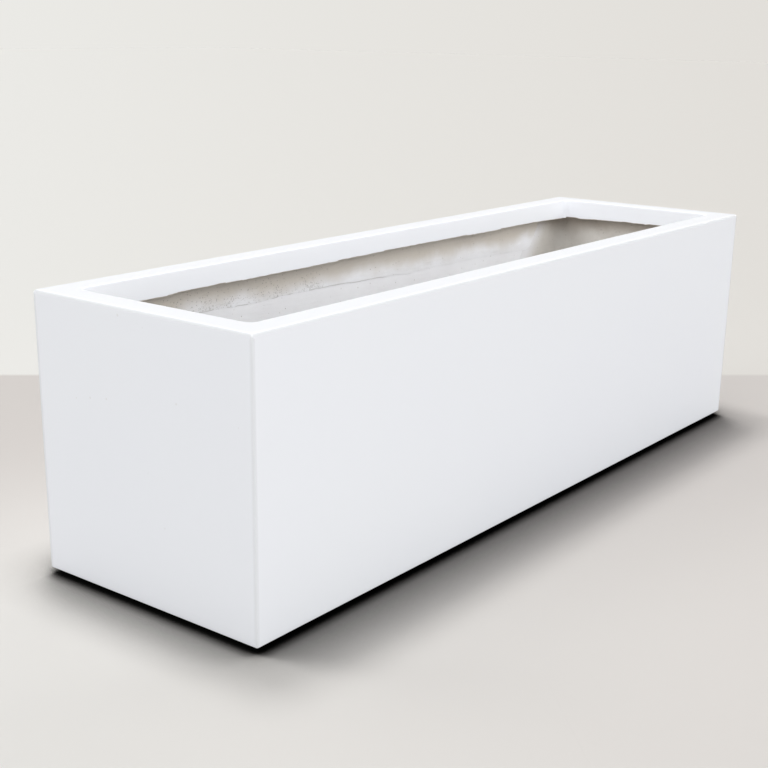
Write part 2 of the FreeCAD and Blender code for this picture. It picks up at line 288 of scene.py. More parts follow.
class Corner(Enum):
    """The four corners, by the signs of X and Y."""

    FRONT_LEFT = (-1, -1)
    FRONT_RIGHT = (1, -1)
    BACK_LEFT = (-1, 1)
    BACK_RIGHT = (1, 1)


@dataclass(frozen=True)
class Run:
    """Stations along one side from mitre to mitre, with half of each corner's arc at the ends."""

    side: Side
    reach: float
    face: float
    step: float
    corner_steps: int = 6

    def stations(self) -> tuple[Array, Array]:
        """Give each station's share of the straight stretch and its angle round the corner's arc.

        Returns:
            Shares from -1 to 1, and angles from -45 to 45 degrees in radians, as columns.
        """
        straight = np.linspace(-1, 1, round(2 * self.reach / self.step) + 1)
        arc = np.linspace(0, QUARTER_TURN / 2, self.corner_steps + 1)[1:]
        share = np.concatenate([-np.ones(arc.size), straight, np.ones(arc.size)])
        angle = np.concatenate([-arc[::-1], np.zeros(straight.size), arc])
        return share[:, None], angle[:, None]

    def along(self) -> Array:
        """Places of the stations along the outside face, as a column."""
        return self.stations()[0] * self.reach

    def place(self, inset: Array, height: Array, radius: Array) -> Array:
        """Carry a profile along the side.

        A point runs straight at its own inset, then round an arc of its own radius as far as the mitre.

        Args:
            inset: How far each point lies inside the outside face.
            height: Height of each point.
            radius: Radius of each point's path round the corner.

        Returns:
            Points of shape (stations, profile, 3).
        """
        share, angle = self.stations()
        along = share * (self.reach - inset - radius) + radius * np.sin(angle)
        out = self.face - inset - radius * (1 - np.cos(angle))
        return self.side.turn(along, out, height)


@dataclass(frozen=True)
class TroughSizes:
    """Sizes of the trough in metres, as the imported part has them."""

    half_length: float
    half_width: float
    body_bottom: float
    wall_thickness: float
    wall_top: float
    rim_top: float
    rim_width: float
    lip_bottom: float
    mat_thickness: float
    lap_bottom: float
    tape_leg: float
    tape_bottom: float
    base_top: float
    base_tape_leg: float

    @classmethod
    def from_frame(cls) -> "TroughSizes":
        """Read the sizes from the boxes of the part's nodes.

        Returns:
            The sizes.
        """
        wall_low, wall_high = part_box("front_wall")
        rim_low, rim_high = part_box("front_rim")
        lap_low, lap_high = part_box("front_lap_strip")
        tape_low, tape_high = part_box("front_left_corner_tape")
        band_low, band_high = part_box("front_base_tape")
        return cls(
            half_length=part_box("right_end_wall")[1].x,
            half_width=-wall_low.y,
            body_bottom=wall_low.z,
            wall_thickness=wall_high.y - wall_low.y,
            wall_top=wall_high.z,
            rim_top=rim_high.z,
            rim_width=rim_high.y - rim_low.y,
            lip_bottom=rim_low.z,
            mat_thickness=lap_high.y - lap_low.y,
            lap_bottom=lap_low.z,
            tape_leg=tape_high.x - tape_low.x,
            tape_bottom=tape_low.z,
            base_top=band_low.z,
            base_tape_leg=band_high.y - band_low.y,
        )

    def span(self, side: Side) -> Pair:
        """Half the outside length of a side, and how far its outside face lies from the middle."""
        spans = (self.half_length, self.half_width)
        return spans if side.is_long else spans[::-1]

    def runs(self, step: float) -> list[Run]:
        """The stations of each side, a step apart."""
        return [Run(side, *self.span(side), step) for side in Side]


class Bench:
    """A node tree, with short ways to add nodes and join them."""

    def __init__(self, tree: Tree) -> None:
        """Keep the tree to work on."""
        self.tree = tree

    def fill(self, socket: Socket, value: object) -> None:
        """Link an input socket to another, or set its value.

        Args:
            socket: Input socket.
            value: Output socket to link, or a plain value.
        """
        if isinstance(value, Socket):
            self.tree.links.new(value, socket)
        else:
            socket.default_value = value

    def add(self, kind: str, sockets: dict | None = None, **settings: object) -> bpy.types.Node:
        """Add a node.

        Args:
            kind: Blender's name for the node, without its ShaderNode.
            sockets: Values or links of its inputs, by name or number.
            settings: Its own settings.

        Returns:
            The new node.
        """
        node = self.tree.nodes.new(f"ShaderNode{kind}")
        for name, value in settings.items():
            setattr(node, name, value)
        for key, value in (sockets or {}).items():
            self.fill(node.inputs[key], value)
        return node

    def reckon(self, operation: str, *values: object) -> Socket:
        """Output of a Math node of that operation."""
        return self.add("Math", dict(enumerate(values)), operation=operation).outputs[0]

    def vector(self, operation: str, *values: object) -> Socket:
        """Output of a Vector Math node of that operation: a number for a dot product, and else a vector."""
        node = self.add("VectorMath", dict(enumerate(values)), operation=operation)
        return node.outputs["Value" if operation == "DOT_PRODUCT" else "Vector"]

    def span(self, value: object, reach: Pair, start: float, end: float, way: str = "LINEAR") -> Socket:
        """Output of a Map Range node, which turns the reach into start to end and stays between them."""
        names = ("Value", "From Min", "From Max", "To Min", "To Max")
        sockets = dict(zip(names, (value, *reach, start, end)))
        return self.add("MapRange", sockets, interpolation_type=way).outputs[0]

    def blend(self, factor: object, first: object, second: object) -> Socket:
        """Mix two colours.

        Args:
            factor: Share of the second colour.
            first: Colour at 0.
            second: Colour at 1.

        Returns:
            Socket of the mixed colour.
        """
        node = self.add("Mix", data_type="RGBA")
        inputs = {socket.identifier: socket for socket in node.inputs}
        for label, value in (("Factor_Float", factor), ("A_Color", first), ("B_Color", second)):
            self.fill(inputs[label], value)
        return next(socket for socket in node.outputs if socket.identifier == "Result_Color")

    def group(self, tree: Tree, sockets: dict) -> Marks:
        """Outputs of a node group placed here with its own values."""
        return self.add("Group", sockets, node_tree=tree).outputs

    def mark(self, label: str) -> Socket:
        """A piece's own mark of that name."""
        return self.add("Attribute", attribute_name=label).outputs["Fac"]

    def cells(self, place: Socket, scale: Socket, share: Socket, sizes: Pair) -> tuple[Socket, ...]:
        """Choose a share of a pattern's cells, and give each a size of its own.

        Args:
            place: Where to read the pattern.
            scale: Cells to a metre.
            share: Share of the cells to choose.
            sizes: Least and greatest size, in cells.

        Returns:
            Whether the cell is chosen, its size, and the distance from its middle.
        """
        pattern = self.add("TexVoronoi", {"Vector": place, "Scale": scale}).outputs
        chance = self.add("SeparateColor", {0: pattern["Color"]}).outputs
        size = self.span(chance[1], (0.0, 1.0), *sizes)
        return self.reckon("LESS_THAN", chance[0], share), size, pattern["Distance"]


class MaterialBench(Bench):
    """A bench on a new material, with its Principled shader and its Object coordinates."""

    def __init__(self, name: str) -> None:
        """Start the material.

        Args:
            name: Name of the material.
        """
        self.material = bpy.data.materials.new(name)
        self.material.use_nodes = True
        super().__init__(self.material.node_tree)
        self.shader = self.tree.nodes["Principled BSDF"]
        self.place = self.add("TexCoord").outputs["Object"]

    def finish(self, sockets: dict[str, object]) -> Material:
        """Fill the shader's sockets, by name, and give the material back."""
        for name, value in sockets.items():
            self.fill(self.shader.inputs[name], value)
        return self.material


def new_group(name: str, inputs: dict[str, object], outputs: dict[str, str]) -> tuple[Bench, Marks, object]:
    """Start a shader node group.

    Args:
        name: Name of the group.
        inputs: Names of its inputs, with a default number, or None for a vector.
        outputs: Names of its outputs, with the kinds of their sockets.

    Returns:
        A bench on the group's tree, its inputs as sockets to read, and its outputs as sockets to fill.
    """
    tree = bpy.data.node_groups.new(name, "ShaderNodeTree")
    for label, default in inputs.items():
        kind = "Vector" if default is None else "Float"
        socket = tree.interface.new_socket(label, in_out="INPUT", socket_type=f"NodeSocket{kind}")
        if default is not None:
            socket.default_value = default
    for label, kind in outputs.items():
        tree.interface.new_socket(label, in_out="OUTPUT", socket_type=f"NodeSocket{kind}")
    return Bench(tree), tree.nodes.new("NodeGroupInput").outputs, tree.nodes.new("NodeGroupOutput").inputs


def handling_group() -> Tree:
    """Make the shared marks of any surface: broad clouds, a fine grain and sparse specks.

    Clouds and grain are fractal noise. A speck is the middle of a cell, in a share of the cells.

    Returns:
        The node group.
    """
    inputs = {"Vector": None, **dict(zip(Finish.SCALE_NAMES, Finish.SCALES))}
    outputs = dict.fromkeys(("Cloud", "Fine", "Specks"), "Float")
    bench, given, wanted = new_group("handling_marks", inputs, outputs)
    place = given["Vector"]
    details = {"Cloud": 3.0, "Fine": 2.0}
    noise_reach = (0.3, 0.7)
    speck_sizes = (0.03, 0.11)
    for label, detail in details.items():
        noise = bench.add("TexNoise", {"Vector": place, "Scale": given[f"{label} Scale"], "Detail": detail})
        bench.fill(wanted[label], bench.span(noise.outputs[0], noise_reach, 0.0, 1.0))
    chosen, size, distance = bench.cells(place, given["Speck Scale"], given["Speck Share"], speck_sizes)
    inside = bench.reckon("LESS_THAN", distance, size)
    bench.fill(wanted["Specks"], bench.reckon("MULTIPLY", chosen, inside))
    return bench.tree


def strand_group() -> Tree:
    """Make the pattern of chopped strand mat under resin: crossing strands and open pits.

    Strands are the highest of three noises, each drawn out along its own direction. A pit is the middle
    of a cell, in a share of the cells, with a soft edge.

    Returns:
        The node group.
    """
    inputs = {"Vector": None, "Strand Scale": 260.0, "Pit Scale": 400.0, "Pit Share": 0.1}
    bench, given, wanted = new_group("strand_mat", inputs, dict.fromkeys(("Strands", "Pits"), "Float"))
    place = given["Vector"]
    turns = ((0.3, 0.2, 0.4), (1.2, 0.7, 1.5), (0.5, 2.2, 2.6))
    drawn_out = (0.12, 1.0, 1.0)
    strand_reach = (0.5, 0.8)
    pit_sizes = (0.2, 0.5)
    pit_slope = (0.0, 0.6)
    strands = 0.0
    for turn in turns:
        turned = bench.add("Mapping", {"Vector": place, "Rotation": turn, "Scale": drawn_out}).outputs[0]
        noise = bench.add("TexNoise", {"Vector": turned, "Scale": given["Strand Scale"], "Detail": 1.0})
        strands = bench.reckon("MAXIMUM", strands, noise.outputs[0])
    bench.fill(wanted["Strands"], bench.span(strands, strand_reach, 0.0, 1.0))
    chosen, size, distance = bench.cells(place, given["Pit Scale"], given["Pit Share"], pit_sizes)
    hollow = bench.reckon("SUBTRACT", 1.0, bench.reckon("DIVIDE", distance, size))
    sunk = bench.span(hollow, pit_slope, 0.0, 1.0)
    bench.fill(wanted["Pits"], bench.reckon("MULTIPLY", chosen, sunk))
    return bench.tree


@dataclass(frozen=True)
class Effects:
    """The node groups that more than one material uses."""

    handling: Tree
    strands: Tree


@dataclass(frozen=True, kw_only=True)
class Finish:
    """What every finish has: a name, a roughness, the height of its relief and the scales of its marks."""

    name: str
    roughness: Pair
    relief: float
    SCALE_NAMES = ("Cloud Scale", "Fine Scale", "Speck Scale", "Speck Share")
    SCALES = (4.0, 400.0, 80.0, 0.02)
    ROUGHENED_BY = "Cloud"
    BUMP_STRENGTH = 1.0
    PLAIN = {}

    def look(self, bench: MaterialBench, effects: Effects, marks: Marks) -> tuple[Socket, Socket]:
        """Work out the surface, which each finish does in its own way.

        Args:
            bench: Bench of the material.
            effects: The shared node groups.
            marks: The handling marks, at the finish's own scales.

        Returns:
            Sockets of its colour and of its relief.
        """
        raise NotImplementedError

    def material(self, effects: Effects) -> Material:
        """Build the material.

        Args:
            effects: The shared node groups.

        Returns:
            The material.
        """
        bench = MaterialBench(self.name)
        scales = dict(zip(self.SCALE_NAMES, self.SCALES))
        marks = bench.group(effects.handling, {"Vector": bench.place, **scales})
        colour, relief = self.look(bench, effects, marks)
        depth = {"Distance": self.relief, "Strength": self.BUMP_STRENGTH}
        bump = bench.add("Bump", {"Height": relief, **depth}).outputs[0]
        rough = bench.span(marks[self.ROUGHENED_BY], (0.0, 1.0), *self.roughness)
        return bench.finish({"Base Color": colour, "Roughness": rough, "Normal": bump, **self.PLAIN})


@dataclass(frozen=True, kw_only=True)
class GelcoatFinish(Finish):
    """Satin gelcoat: an even colour with a faint tint in clouds, fine peel, specks, and a grey of dusty
    joints and painted shade at the mitres and along the rim's outer top edge.
    """

    colour: Colour = tone(237, 239, 243)
    tint: Colour = tone(236, 238, 243)
    speck: Colour = tone(216, 215, 212)
    speck_share: float = 0.4
    joint_dust_and_shade: Colour = tone(172, 173, 172)
    joint_dust_and_shade_share: float = 0.44
    roughness: Pair = (0.36, 0.46)
    relief: float = 0.02 * MM
    SCALES = (3.0, 320.0, 70.0, 0.008)
    ROUGHENED_BY = "Fine"
    PLAIN = {"Coat Weight": 0.12, "Coat Roughness": 0.25}

    def look(self, bench: MaterialBench, effects: Effects, marks: Marks) -> tuple[Socket, Socket]:
        """Tint the colour in clouds, then lay specks and the grey of dusty joints and painted shade over it.

        Args:
            bench: Bench of the material.
            effects: The shared node groups, not used here.
            marks: The handling marks.

        Returns:
            Sockets of its colour and of its relief.
        """
        colour = bench.blend(marks["Cloud"], self.colour, self.tint)
        specks = bench.reckon("MULTIPLY", marks["Specks"], self.speck_share)
        colour = bench.blend(specks, colour, self.speck)
        # painted shade: greys the gelcoat at each mitre, where the joint is also dusty, and along the rim's
        # outer top edge
        dust_and_shade = bench.reckon("MULTIPLY", bench.mark("seam"), self.joint_dust_and_shade_share)
        return bench.blend(dust_and_shade, colour, self.joint_dust_and_shade), marks["Fine"]


@dataclass(frozen=True, kw_only=True)
class LaminateFinish(Finish):
    """Bare laminate: strands under resin, darkened pits, and brown resin staining with painted shade that
    deepens with height towards the rim's lip.
    """

    light: Colour
    dark: Colour
    stain_and_shade: Colour = tone(202, 191, 176)
    stain_and_shade_band: Pair = (0.298, 0.332)
    stain_and_shade_share: float = 0.0
    stain_and_shade_sway: float = 12 * MM
    pit_share: float = 0.06
    strand_share: float = 0.25
    strand_scale: float = 240.0
    pit_and_edge_shadow_colour: Colour = tone(150, 147, 142)
    edge_colour: Colour = tone(232, 232, 235)
    dirt_share: float = 0.7
    crumb_share: float = 1.0
    fine_relief: float = 0.4
    pit_relief: float = 2.0
    roughness: Pair = (0.5, 0.72)
    relief: float = 0.25 * MM
    SCALES = (14.0, 600.0, 120.0, 0.05)
    ROUGHENED_BY = "Fine"
    BUMP_STRENGTH = 0.8

    def look(self, bench: MaterialBench, effects: Effects, marks: Marks) -> tuple[Socket, Socket]:
        """Lay strands, pale edges, the brown staining with painted shade under the lip, then darkened pits
        and a painted shadow along the lap's lower edge over each other.

        Args:
            bench: Bench of the material.
            effects: The shared node groups.
            marks: The handling marks.

        Returns:
            Sockets of its colour and of its relief.
        """
        pitted = bench.reckon("MULTIPLY_ADD", bench.mark("crumbs"), self.crumb_share, self.pit_share)
        scales = {"Vector": bench.place, "Strand Scale": self.strand_scale, "Pit Share": pitted}
        mat = bench.group(effects.strands, scales)
        colour = bench.blend(marks["Cloud"], self.light, self.dark)
        colour = bench.blend(bench.reckon("MULTIPLY", mat["Strands"], self.strand_share), colour, self.dark)
        colour = bench.blend(bench.mark("feather"), colour, self.edge_colour)
        height = bench.add("SeparateXYZ", {0: bench.place}).outputs["Z"]
        # painted shade under the rim's lip: towards the top the colour turns to a darker brown, partly real
        # resin staining
        uneven = bench.reckon("MULTIPLY_ADD", marks["Cloud"], self.stain_and_shade_sway, height)
        stain_and_shade_band = bench.span(uneven, self.stain_and_shade_band, 0.0, self.stain_and_shade_share, "SMOOTHSTEP")
        colour = bench.blend(stain_and_shade_band, colour, self.stain_and_shade)
        # darker in the pits; painted shadow in a thin line along the lap's lower edge
        dirt = bench.reckon("MAXIMUM", bench.mark("dirt"), mat["Pits"])
        colour = bench.blend(bench.reckon("MULTIPLY", dirt, self.dirt_share), colour, self.pit_and_edge_shadow_colour)
        relief = bench.reckon("MULTIPLY_ADD", marks["Fine"], self.fine_relief, mat["Strands"])
        sunk = bench.reckon("MULTIPLY", mat["Pits"], self.pit_relief)
        return colour, bench.reckon("SUBTRACT", relief, sunk)


@dataclass(frozen=True, kw_only=True)
class MouldedFinish(Finish):
    """Moulded plastic or rubber: a mottled colour, a fine moulded grain and pale scuffs."""

    colour: Colour
    mottle: Colour
    scuff: Colour
    scuff_share: float = 0.5
    SCALES = (60.0, 1500.0, 500.0, 0.06)
    BUMP_STRENGTH = 0.7

    def look(self, bench: MaterialBench, effects: Effects, marks: Marks) -> tuple[Socket, Socket]:
        """Mottle the colour in clouds and scuff it in specks.

        Args:
            bench: Bench of the material.
            effects: The shared node groups, not used here.
            marks: The handling marks.

        Returns:
            Sockets of its colour and of its relief.
        """
        colour = bench.blend(marks["Cloud"], self.colour, self.mottle)
        scuffed = bench.reckon("MULTIPLY", marks["Specks"], self.scuff_share)
        return bench.blend(scuffed, colour, self.scuff), marks["Fine"]


@dataclass(frozen=True, kw_only=True)
class PlatedFinish(Finish):
    """Zinc-plated steel: bright metal with dull clouds."""

    colour: Colour = tone(196, 198, 202)
    dull: Colour = tone(150, 152, 154)
    roughness: Pair = (0.28, 0.5)
    relief: float = 0.02 * MM
    SCALES = (220.0, 2500.0, 900.0, 0.1)
    BUMP_STRENGTH = 0.5
    PLAIN = {"Metallic": 1.0}

    def look(self, bench: MaterialBench, effects: Effects, marks: Marks) -> tuple[Socket, Socket]:
        """Dull the metal in clouds, and give its colour and relief as sockets."""
        return bench.blend(marks["Cloud"], self.colour, self.dull), marks["Fine"]


class Dressing:
    """Every finish of the trough as a material."""

    WALL = LaminateFinish(
        name="bare_wall", light=tone(242, 243, 246), dark=tone(235, 235, 238),
        pit_share=0.02, strand_share=0.1,
    )
    # painted shade: the lap strips turn a darker brown in the band just under the rim's lip
    LAP = LaminateFinish(
        name="lap_mat", light=tone(241, 242, 246), dark=tone(231, 231, 233), stain_and_shade=tone(204, 197, 187),
        stain_and_shade_band=(0.289, 0.318), stain_and_shade_share=0.95, pit_share=0.03, strand_share=0.4,
    )
    # painted shade: a darker, browner laminate for the corner tapes and the end walls' and end strips' bare
    # faces, partly the tapes' real resin colour
    CORNER_AND_END_SHADED = LaminateFinish(
        name="corner_mat_with_shade", light=tone(214, 211, 206), dark=tone(195, 190, 183), stain_and_shade=tone(160, 148, 134),
        stain_and_shade_share=0.7, pit_share=0.05,
    )
    BASE = LaminateFinish(
        name="base_mat", light=tone(228, 227, 224), dark=tone(206, 204, 200),
        pit_share=0.08, strand_share=0.45,
    )
    DRAIN = MouldedFinish(
        name="drain_plastic", colour=tone(66, 68, 71), mottle=tone(58, 60, 63), scuff=tone(120, 120, 118),
        roughness=(0.38, 0.52), relief=0.02 * MM,
    )
    PLUG = MouldedFinish(
        name="plug_rubber", colour=tone(40, 40, 42), mottle=tone(48, 47, 47), scuff=tone(104, 102, 98),
        roughness=(0.55, 0.72), relief=0.04 * MM,
    )
    PAD = MouldedFinish(
        name="pad_rubber", colour=tone(36, 36, 37), mottle=tone(44, 43, 43), scuff=tone(96, 94, 90),
        roughness=(0.6, 0.78), relief=0.05 * MM,
    )

    def __init__(self) -> None:
        """Build the shared effects, then each material once."""
        effects = Effects(handling_group(), strand_group())
        self.gelcoat = GelcoatFinish(name="white_gelcoat").material(effects)
        self.wall, self.lap, self.corner, self.base, self.drain, self.plug, self.pad = (
            finish.material(effects)
            for finish in (self.WALL, self.LAP, self.CORNER_AND_END_SHADED, self.BASE, self.DRAIN, self.PLUG, self.PAD)
        )
        self.steel = PlatedFinish(name="fastener_steel").material(effects)


def add_object(name: str, data: bpy.types.ID) -> bpy.types.Object:
    """Put data into the scene as an object at the origin.

    Args:
        name: Name of the object.
        data: Its mesh, lamp or camera.

    Returns:
        The object.
    """
    made = bpy.data.objects.new(name, data)
    bpy.context.scene.collection.objects.link(made)
    return made


def make_piece(skin: Skin, node: str, materials: list[Material], body: str = "trough") -> None:
    """Make the object that stands for a node of the part.

    Args:
        skin: Its surface.
        node: Node that it stands for.
        materials: Materials by the numbers that the skin's faces have.
        body: Body that it rides on.
    """
    name = f"{node}_skin"
    mesh = bpy.data.meshes.new(name)
    mesh.from_pydata(skin.points.tolist(), [], skin.quads.tolist() + [end.tolist() for end in skin.ends])
    finishes = np.concatenate([skin.finishes, np.full(len(skin.ends), skin.end_finish)])
    mesh.polygons.foreach_set("material_index", finishes.astype(np.int32))
    for label, values in skin.marks.items():
        mark = mesh.attributes.new(label, "FLOAT", "POINT")
        mark.data.foreach_set("value", values.astype(np.float32).ravel())
    for material in materials:
        mesh.materials.append(material)
    mesh.shade_smooth()
    mesh.set_sharp_from_angle(angle=SHARP_EDGE)
    piece = add_object(name, mesh)
    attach(piece, body)
    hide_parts(node)
    LOG.info("%s: %d faces on %s", name, len(mesh.polygons), body)


@dataclass(frozen=True)
class PanelFace:
    """What hand lay-up leaves in a side's outside face, in wall and rim alike.

    There are slow hollows and swells, and at each mitre a hairline groove, greyed by a dusty joint and
    painted shade.
    """

    run: Run
    pitch: float = 190 * MM
    depth: float = 0.16 * MM
    corner_clear: float = 70 * MM
    groove_width: float = 0.9 * MM
    groove_depth: float = 0.25 * MM
    dust_and_shade_width: float = 2.2 * MM
    SEED = 100

    def from_mitre(self, radius: Array) -> Array:
        """Distance of each point from its mitre, round its path's arc at the corner and on along the face."""
        share, angle = self.run.stations()
        return (1 - np.abs(share)) * self.run.reach + radius * (QUARTER_TURN / 2 - np.abs(angle))

    def inset(self, height: Array, radius: Array) -> Array:
        """How far the face lies inwards: layered waves that die out at the corners, and the grooves.

        Args:
            height: Heights of the profile's points.
            radius: Radius of each point's path round the corner.

        Returns:
            Insets of shape (stations, profile).
        """
        along = self.run.along()
        waves = Grain(self.SEED + self.run.side.value).layers(along, height, self.pitch, Grain.SMOOTH)
        calm = ramp(self.run.reach - np.abs(along), 0, self.corner_clear)
        groove = np.clip(1 - self.from_mitre(radius) / self.groove_width, 0, 1)
        return self.depth * calm * (1 + waves) + self.groove_depth * groove

    def dust_and_shade(self, radius: Array) -> Array:
        """Share of the grey of a dusty joint and painted shade, which falls smoothly to nothing at its width
        from the mitre.
        """
        return 1 - ramp(self.from_mitre(radius), 0, self.dust_and_shade_width)


@dataclass(frozen=True)
class Walls:
    """The four wall panels: gelcoat outside, bare laminate inside, mitred at the corners."""

    sizes: TroughSizes
    step: float = 4 * MM
    corner_radius: float = 1.0 * MM
    inner_radius: float = 0.6 * MM
    foot_radius: float = 1.2 * MM
    rough_height: float = 0.3 * MM
    rough_pitch: float = 26 * MM
    SEED = 200

    def build(self, dressing: Dressing) -> None:
        """Make the four panels.

        Args:
            dressing: The materials.
        """
        for run in self.sizes.runs(self.step):
            # the end walls' bare inside takes the darker corner laminate as painted shade
            kind, laminate = ("wall", dressing.wall) if run.side.is_long else ("end_wall", dressing.corner)
            make_piece(self.panel(run), run.side.node(kind), [dressing.gelcoat, laminate])

    def profile(self) -> tuple[Array, Array, Array]:
        """Section of a panel: up the outside, over the top, down the inside and round its foot.

        Returns:
            Insets, heights and finishes.
        """
        thick, foot, top = self.sizes.wall_thickness, self.sizes.body_bottom, self.sizes.wall_top
        edge = self.foot_radius
        return outline(
            (stretch((0, foot + edge), (0, top), 60), Coat.GELCOAT),
            (stretch((0, top), (thick, top), 3), Coat.LAMINATE),
            (stretch((thick, top), (thick, foot), 84), Coat.LAMINATE),
            (stretch((thick, foot), (edge, foot), 3), Coat.LAMINATE),
            (bend((edge, foot + edge), edge, 270, 180, 4), Coat.GELCOAT),
        )

    def panel(self, run: Run) -> Skin:
        """Carry the section along a side, wavy outside and rough inside, with a hairline at each mitre greyed
        partly by painted shade.

        Args:
            run: The side's stations.

        Returns:
            The panel's surface.
        """
        inset, height, finishes = self.profile()
        thick = self.sizes.wall_thickness
        radius = np.interp(inset, [0, thick], [self.corner_radius, self.inner_radius])
        outside = inset < self.foot_radius
        face = PanelFace(run)
        grain = Grain(self.SEED + run.side.value)
        rough = grain.layers(run.along(), height, self.rough_pitch, Grain.ROUGH)
        relief = outside * face.inset(height, radius) - (inset == thick) * self.rough_height * rough
        skin = carry(run.place(inset + relief, height, radius), finishes, Coat.LAMINATE)
        # painted shade, with dusty grey, along each mitre's hairline
        skin.marks["seam"] = outside * face.dust_and_shade(radius)
        return skin


@dataclass(frozen=True)
class Rims:
    """The four rim sections: a flat top over the wall, and a lip turned down inside with a torn edge."""

    sizes: TroughSizes
    step: float = 2 * MM
    edge_radius: float = 4.0 * MM
    arris_shade: float = 0.9
    mouth_edge: float = 1.5 * MM
    corner_radius: float = 1.0 * MM
    mouth_radius: float = 11 * MM
    lip_thickness: float = 6 * MM
    lip_edge_radius: float = 0.8 * MM
    torn_height: float = 1.1 * MM
    torn_reach: float = 10 * MM
    slow_pitch: float = 230 * MM
    tear_pitch: float = 60 * MM
    fray_pitch: float = 12 * MM
    tear_steps: float = 1.5
    tear_share: float = 0.8
    fray_share: float = 0.45
    arris_shade_fade: float = 0.2
    corner_rises: tuple[tuple[Corner, float], ...] = (
        (Corner.BACK_LEFT, 3 * MM), (Corner.BACK_RIGHT, -2.5 * MM)
    )
    rise_reach: Pair = (50 * MM, 160 * MM)
    top_wave: float = 0.12 * MM
    top_pitch: float = 160 * MM
    LIP_SEED = 300
    TOP_SEED = 320

    def build(self, dressing: Dressing) -> None:
        """Make the four sections.

        Args:
            dressing: The materials.
        """
        materials = [dressing.gelcoat, dressing.lap]
        for run in self.sizes.runs(self.step):
            make_piece(self.section(run), run.side.node("rim"), materials)

    def profile(self) -> tuple[Array, Array, Array]:
        """Section of a rim: up the outside, over the top, down the lip, and back along the underside.

        Returns:
            Insets, heights and finishes.
        """
        under, top = self.sizes.wall_top, self.sizes.rim_top
        width, low = self.sizes.rim_width, self.sizes.lip_bottom
        edge, mouth, torn = self.edge_radius, self.mouth_edge, self.lip_edge_radius
        back = width - self.lip_thickness
        return outline(
            (stretch((0, under), (0, top - edge), 3), Coat.GELCOAT),
            (bend((edge, top - edge), edge, 180, 90, 8), Coat.GELCOAT),
            (stretch((edge, top), (width - mouth, top), 10), Coat.GELCOAT),
            (bend((width - mouth, top - mouth), mouth, 90, 0, 5), Coat.GELCOAT),
            (stretch((width, top - mouth), (width, low + torn), 16), Coat.GELCOAT),
            (bend((width - torn, low + torn), torn, 0, -90, 3), Coat.LAMINATE),
            (stretch((width - torn, low), (back, low), 3), Coat.LAMINATE),
            (stretch((back, low), (back, under), 8), Coat.LAMINATE),
            (stretch((back, under), (0, under), 6), Coat.LAMINATE),
        )

    def torn_edge(self, run: Run) -> Array:
        """How far the lip's lower edge rises or falls: slow waves, small tears and a fine fray, added.

        Args:
            run: The side's stations.

        Returns:
            Rises, as a column.
        """
        grain, along = Grain(self.LIP_SEED + run.side.value), run.along()
        slow = grain.wave(along, 0.0, self.slow_pitch)
        tears = np.round(self.tear_steps * grain.wave(along, 1.0, self.tear_pitch)) * self.tear_share
        fray = grain.layers(along, 0.5, self.fray_pitch, Grain.ROUGH) * self.fray_share
        return self.torn_height * (slow + tears + fray)

    def section(self, run: Run) -> Skin:
        """Carry the section along a side, with the wave of the wall below, the torn edge on its lip, and
        painted shade along its outer top edge.

        Args:
            run: The side's stations.

        Returns:
            The section's surface.
        """
        inset, height, finishes = self.profile()
        width, low, top = self.sizes.rim_width, self.sizes.lip_bottom, self.sizes.rim_top
        corner_radii = [self.corner_radius, self.mouth_radius, self.mouth_radius]
        radius = np.interp(inset, [0, width - self.lip_thickness, width], corner_radii)
        outside = ramp(inset, self.edge_radius, 0)
        face = PanelFace(run)
        torn = 1 - ramp(height, low, low + self.torn_reach)
        crown = ramp(height, self.sizes.wall_top, top)
        calm = ramp(run.reach - np.abs(run.along()), width, 3 * width)
        swell = calm * Grain(self.TOP_SEED + run.side.value).wave(run.along(), inset, self.top_pitch)
        lift = torn * self.torn_edge(run) + crown * self.top_wave * swell
        points = run.place(inset + outside * face.inset(height, radius), height + lift, radius)
        for corner, rise in self.corner_rises:
            from_x = points[..., 0] - corner.value[0] * self.sizes.half_length
            from_y = points[..., 1] - corner.value[1] * self.sizes.half_width
            points[..., 2] += rise * torn * (1 - ramp(np.hypot(from_x, from_y), *self.rise_reach))
        skin = carry(points, finishes, Coat.LAMINATE)
        # painted shade: a grey band along the rounding of the outer top edge, between the top and the face
        rounding = ramp(height, top - self.edge_radius, top)
        arris_shade_band = ramp(rounding, 0, self.arris_shade_fade) * (1 - ramp(rounding, 1 - self.arris_shade_fade, 1))
        arris_shade_band = self.arris_shade * arris_shade_band * (inset < self.edge_radius)
        skin.marks["seam"] = np.maximum(outside * face.dust_and_shade(radius), arris_shade_band)
        return skin


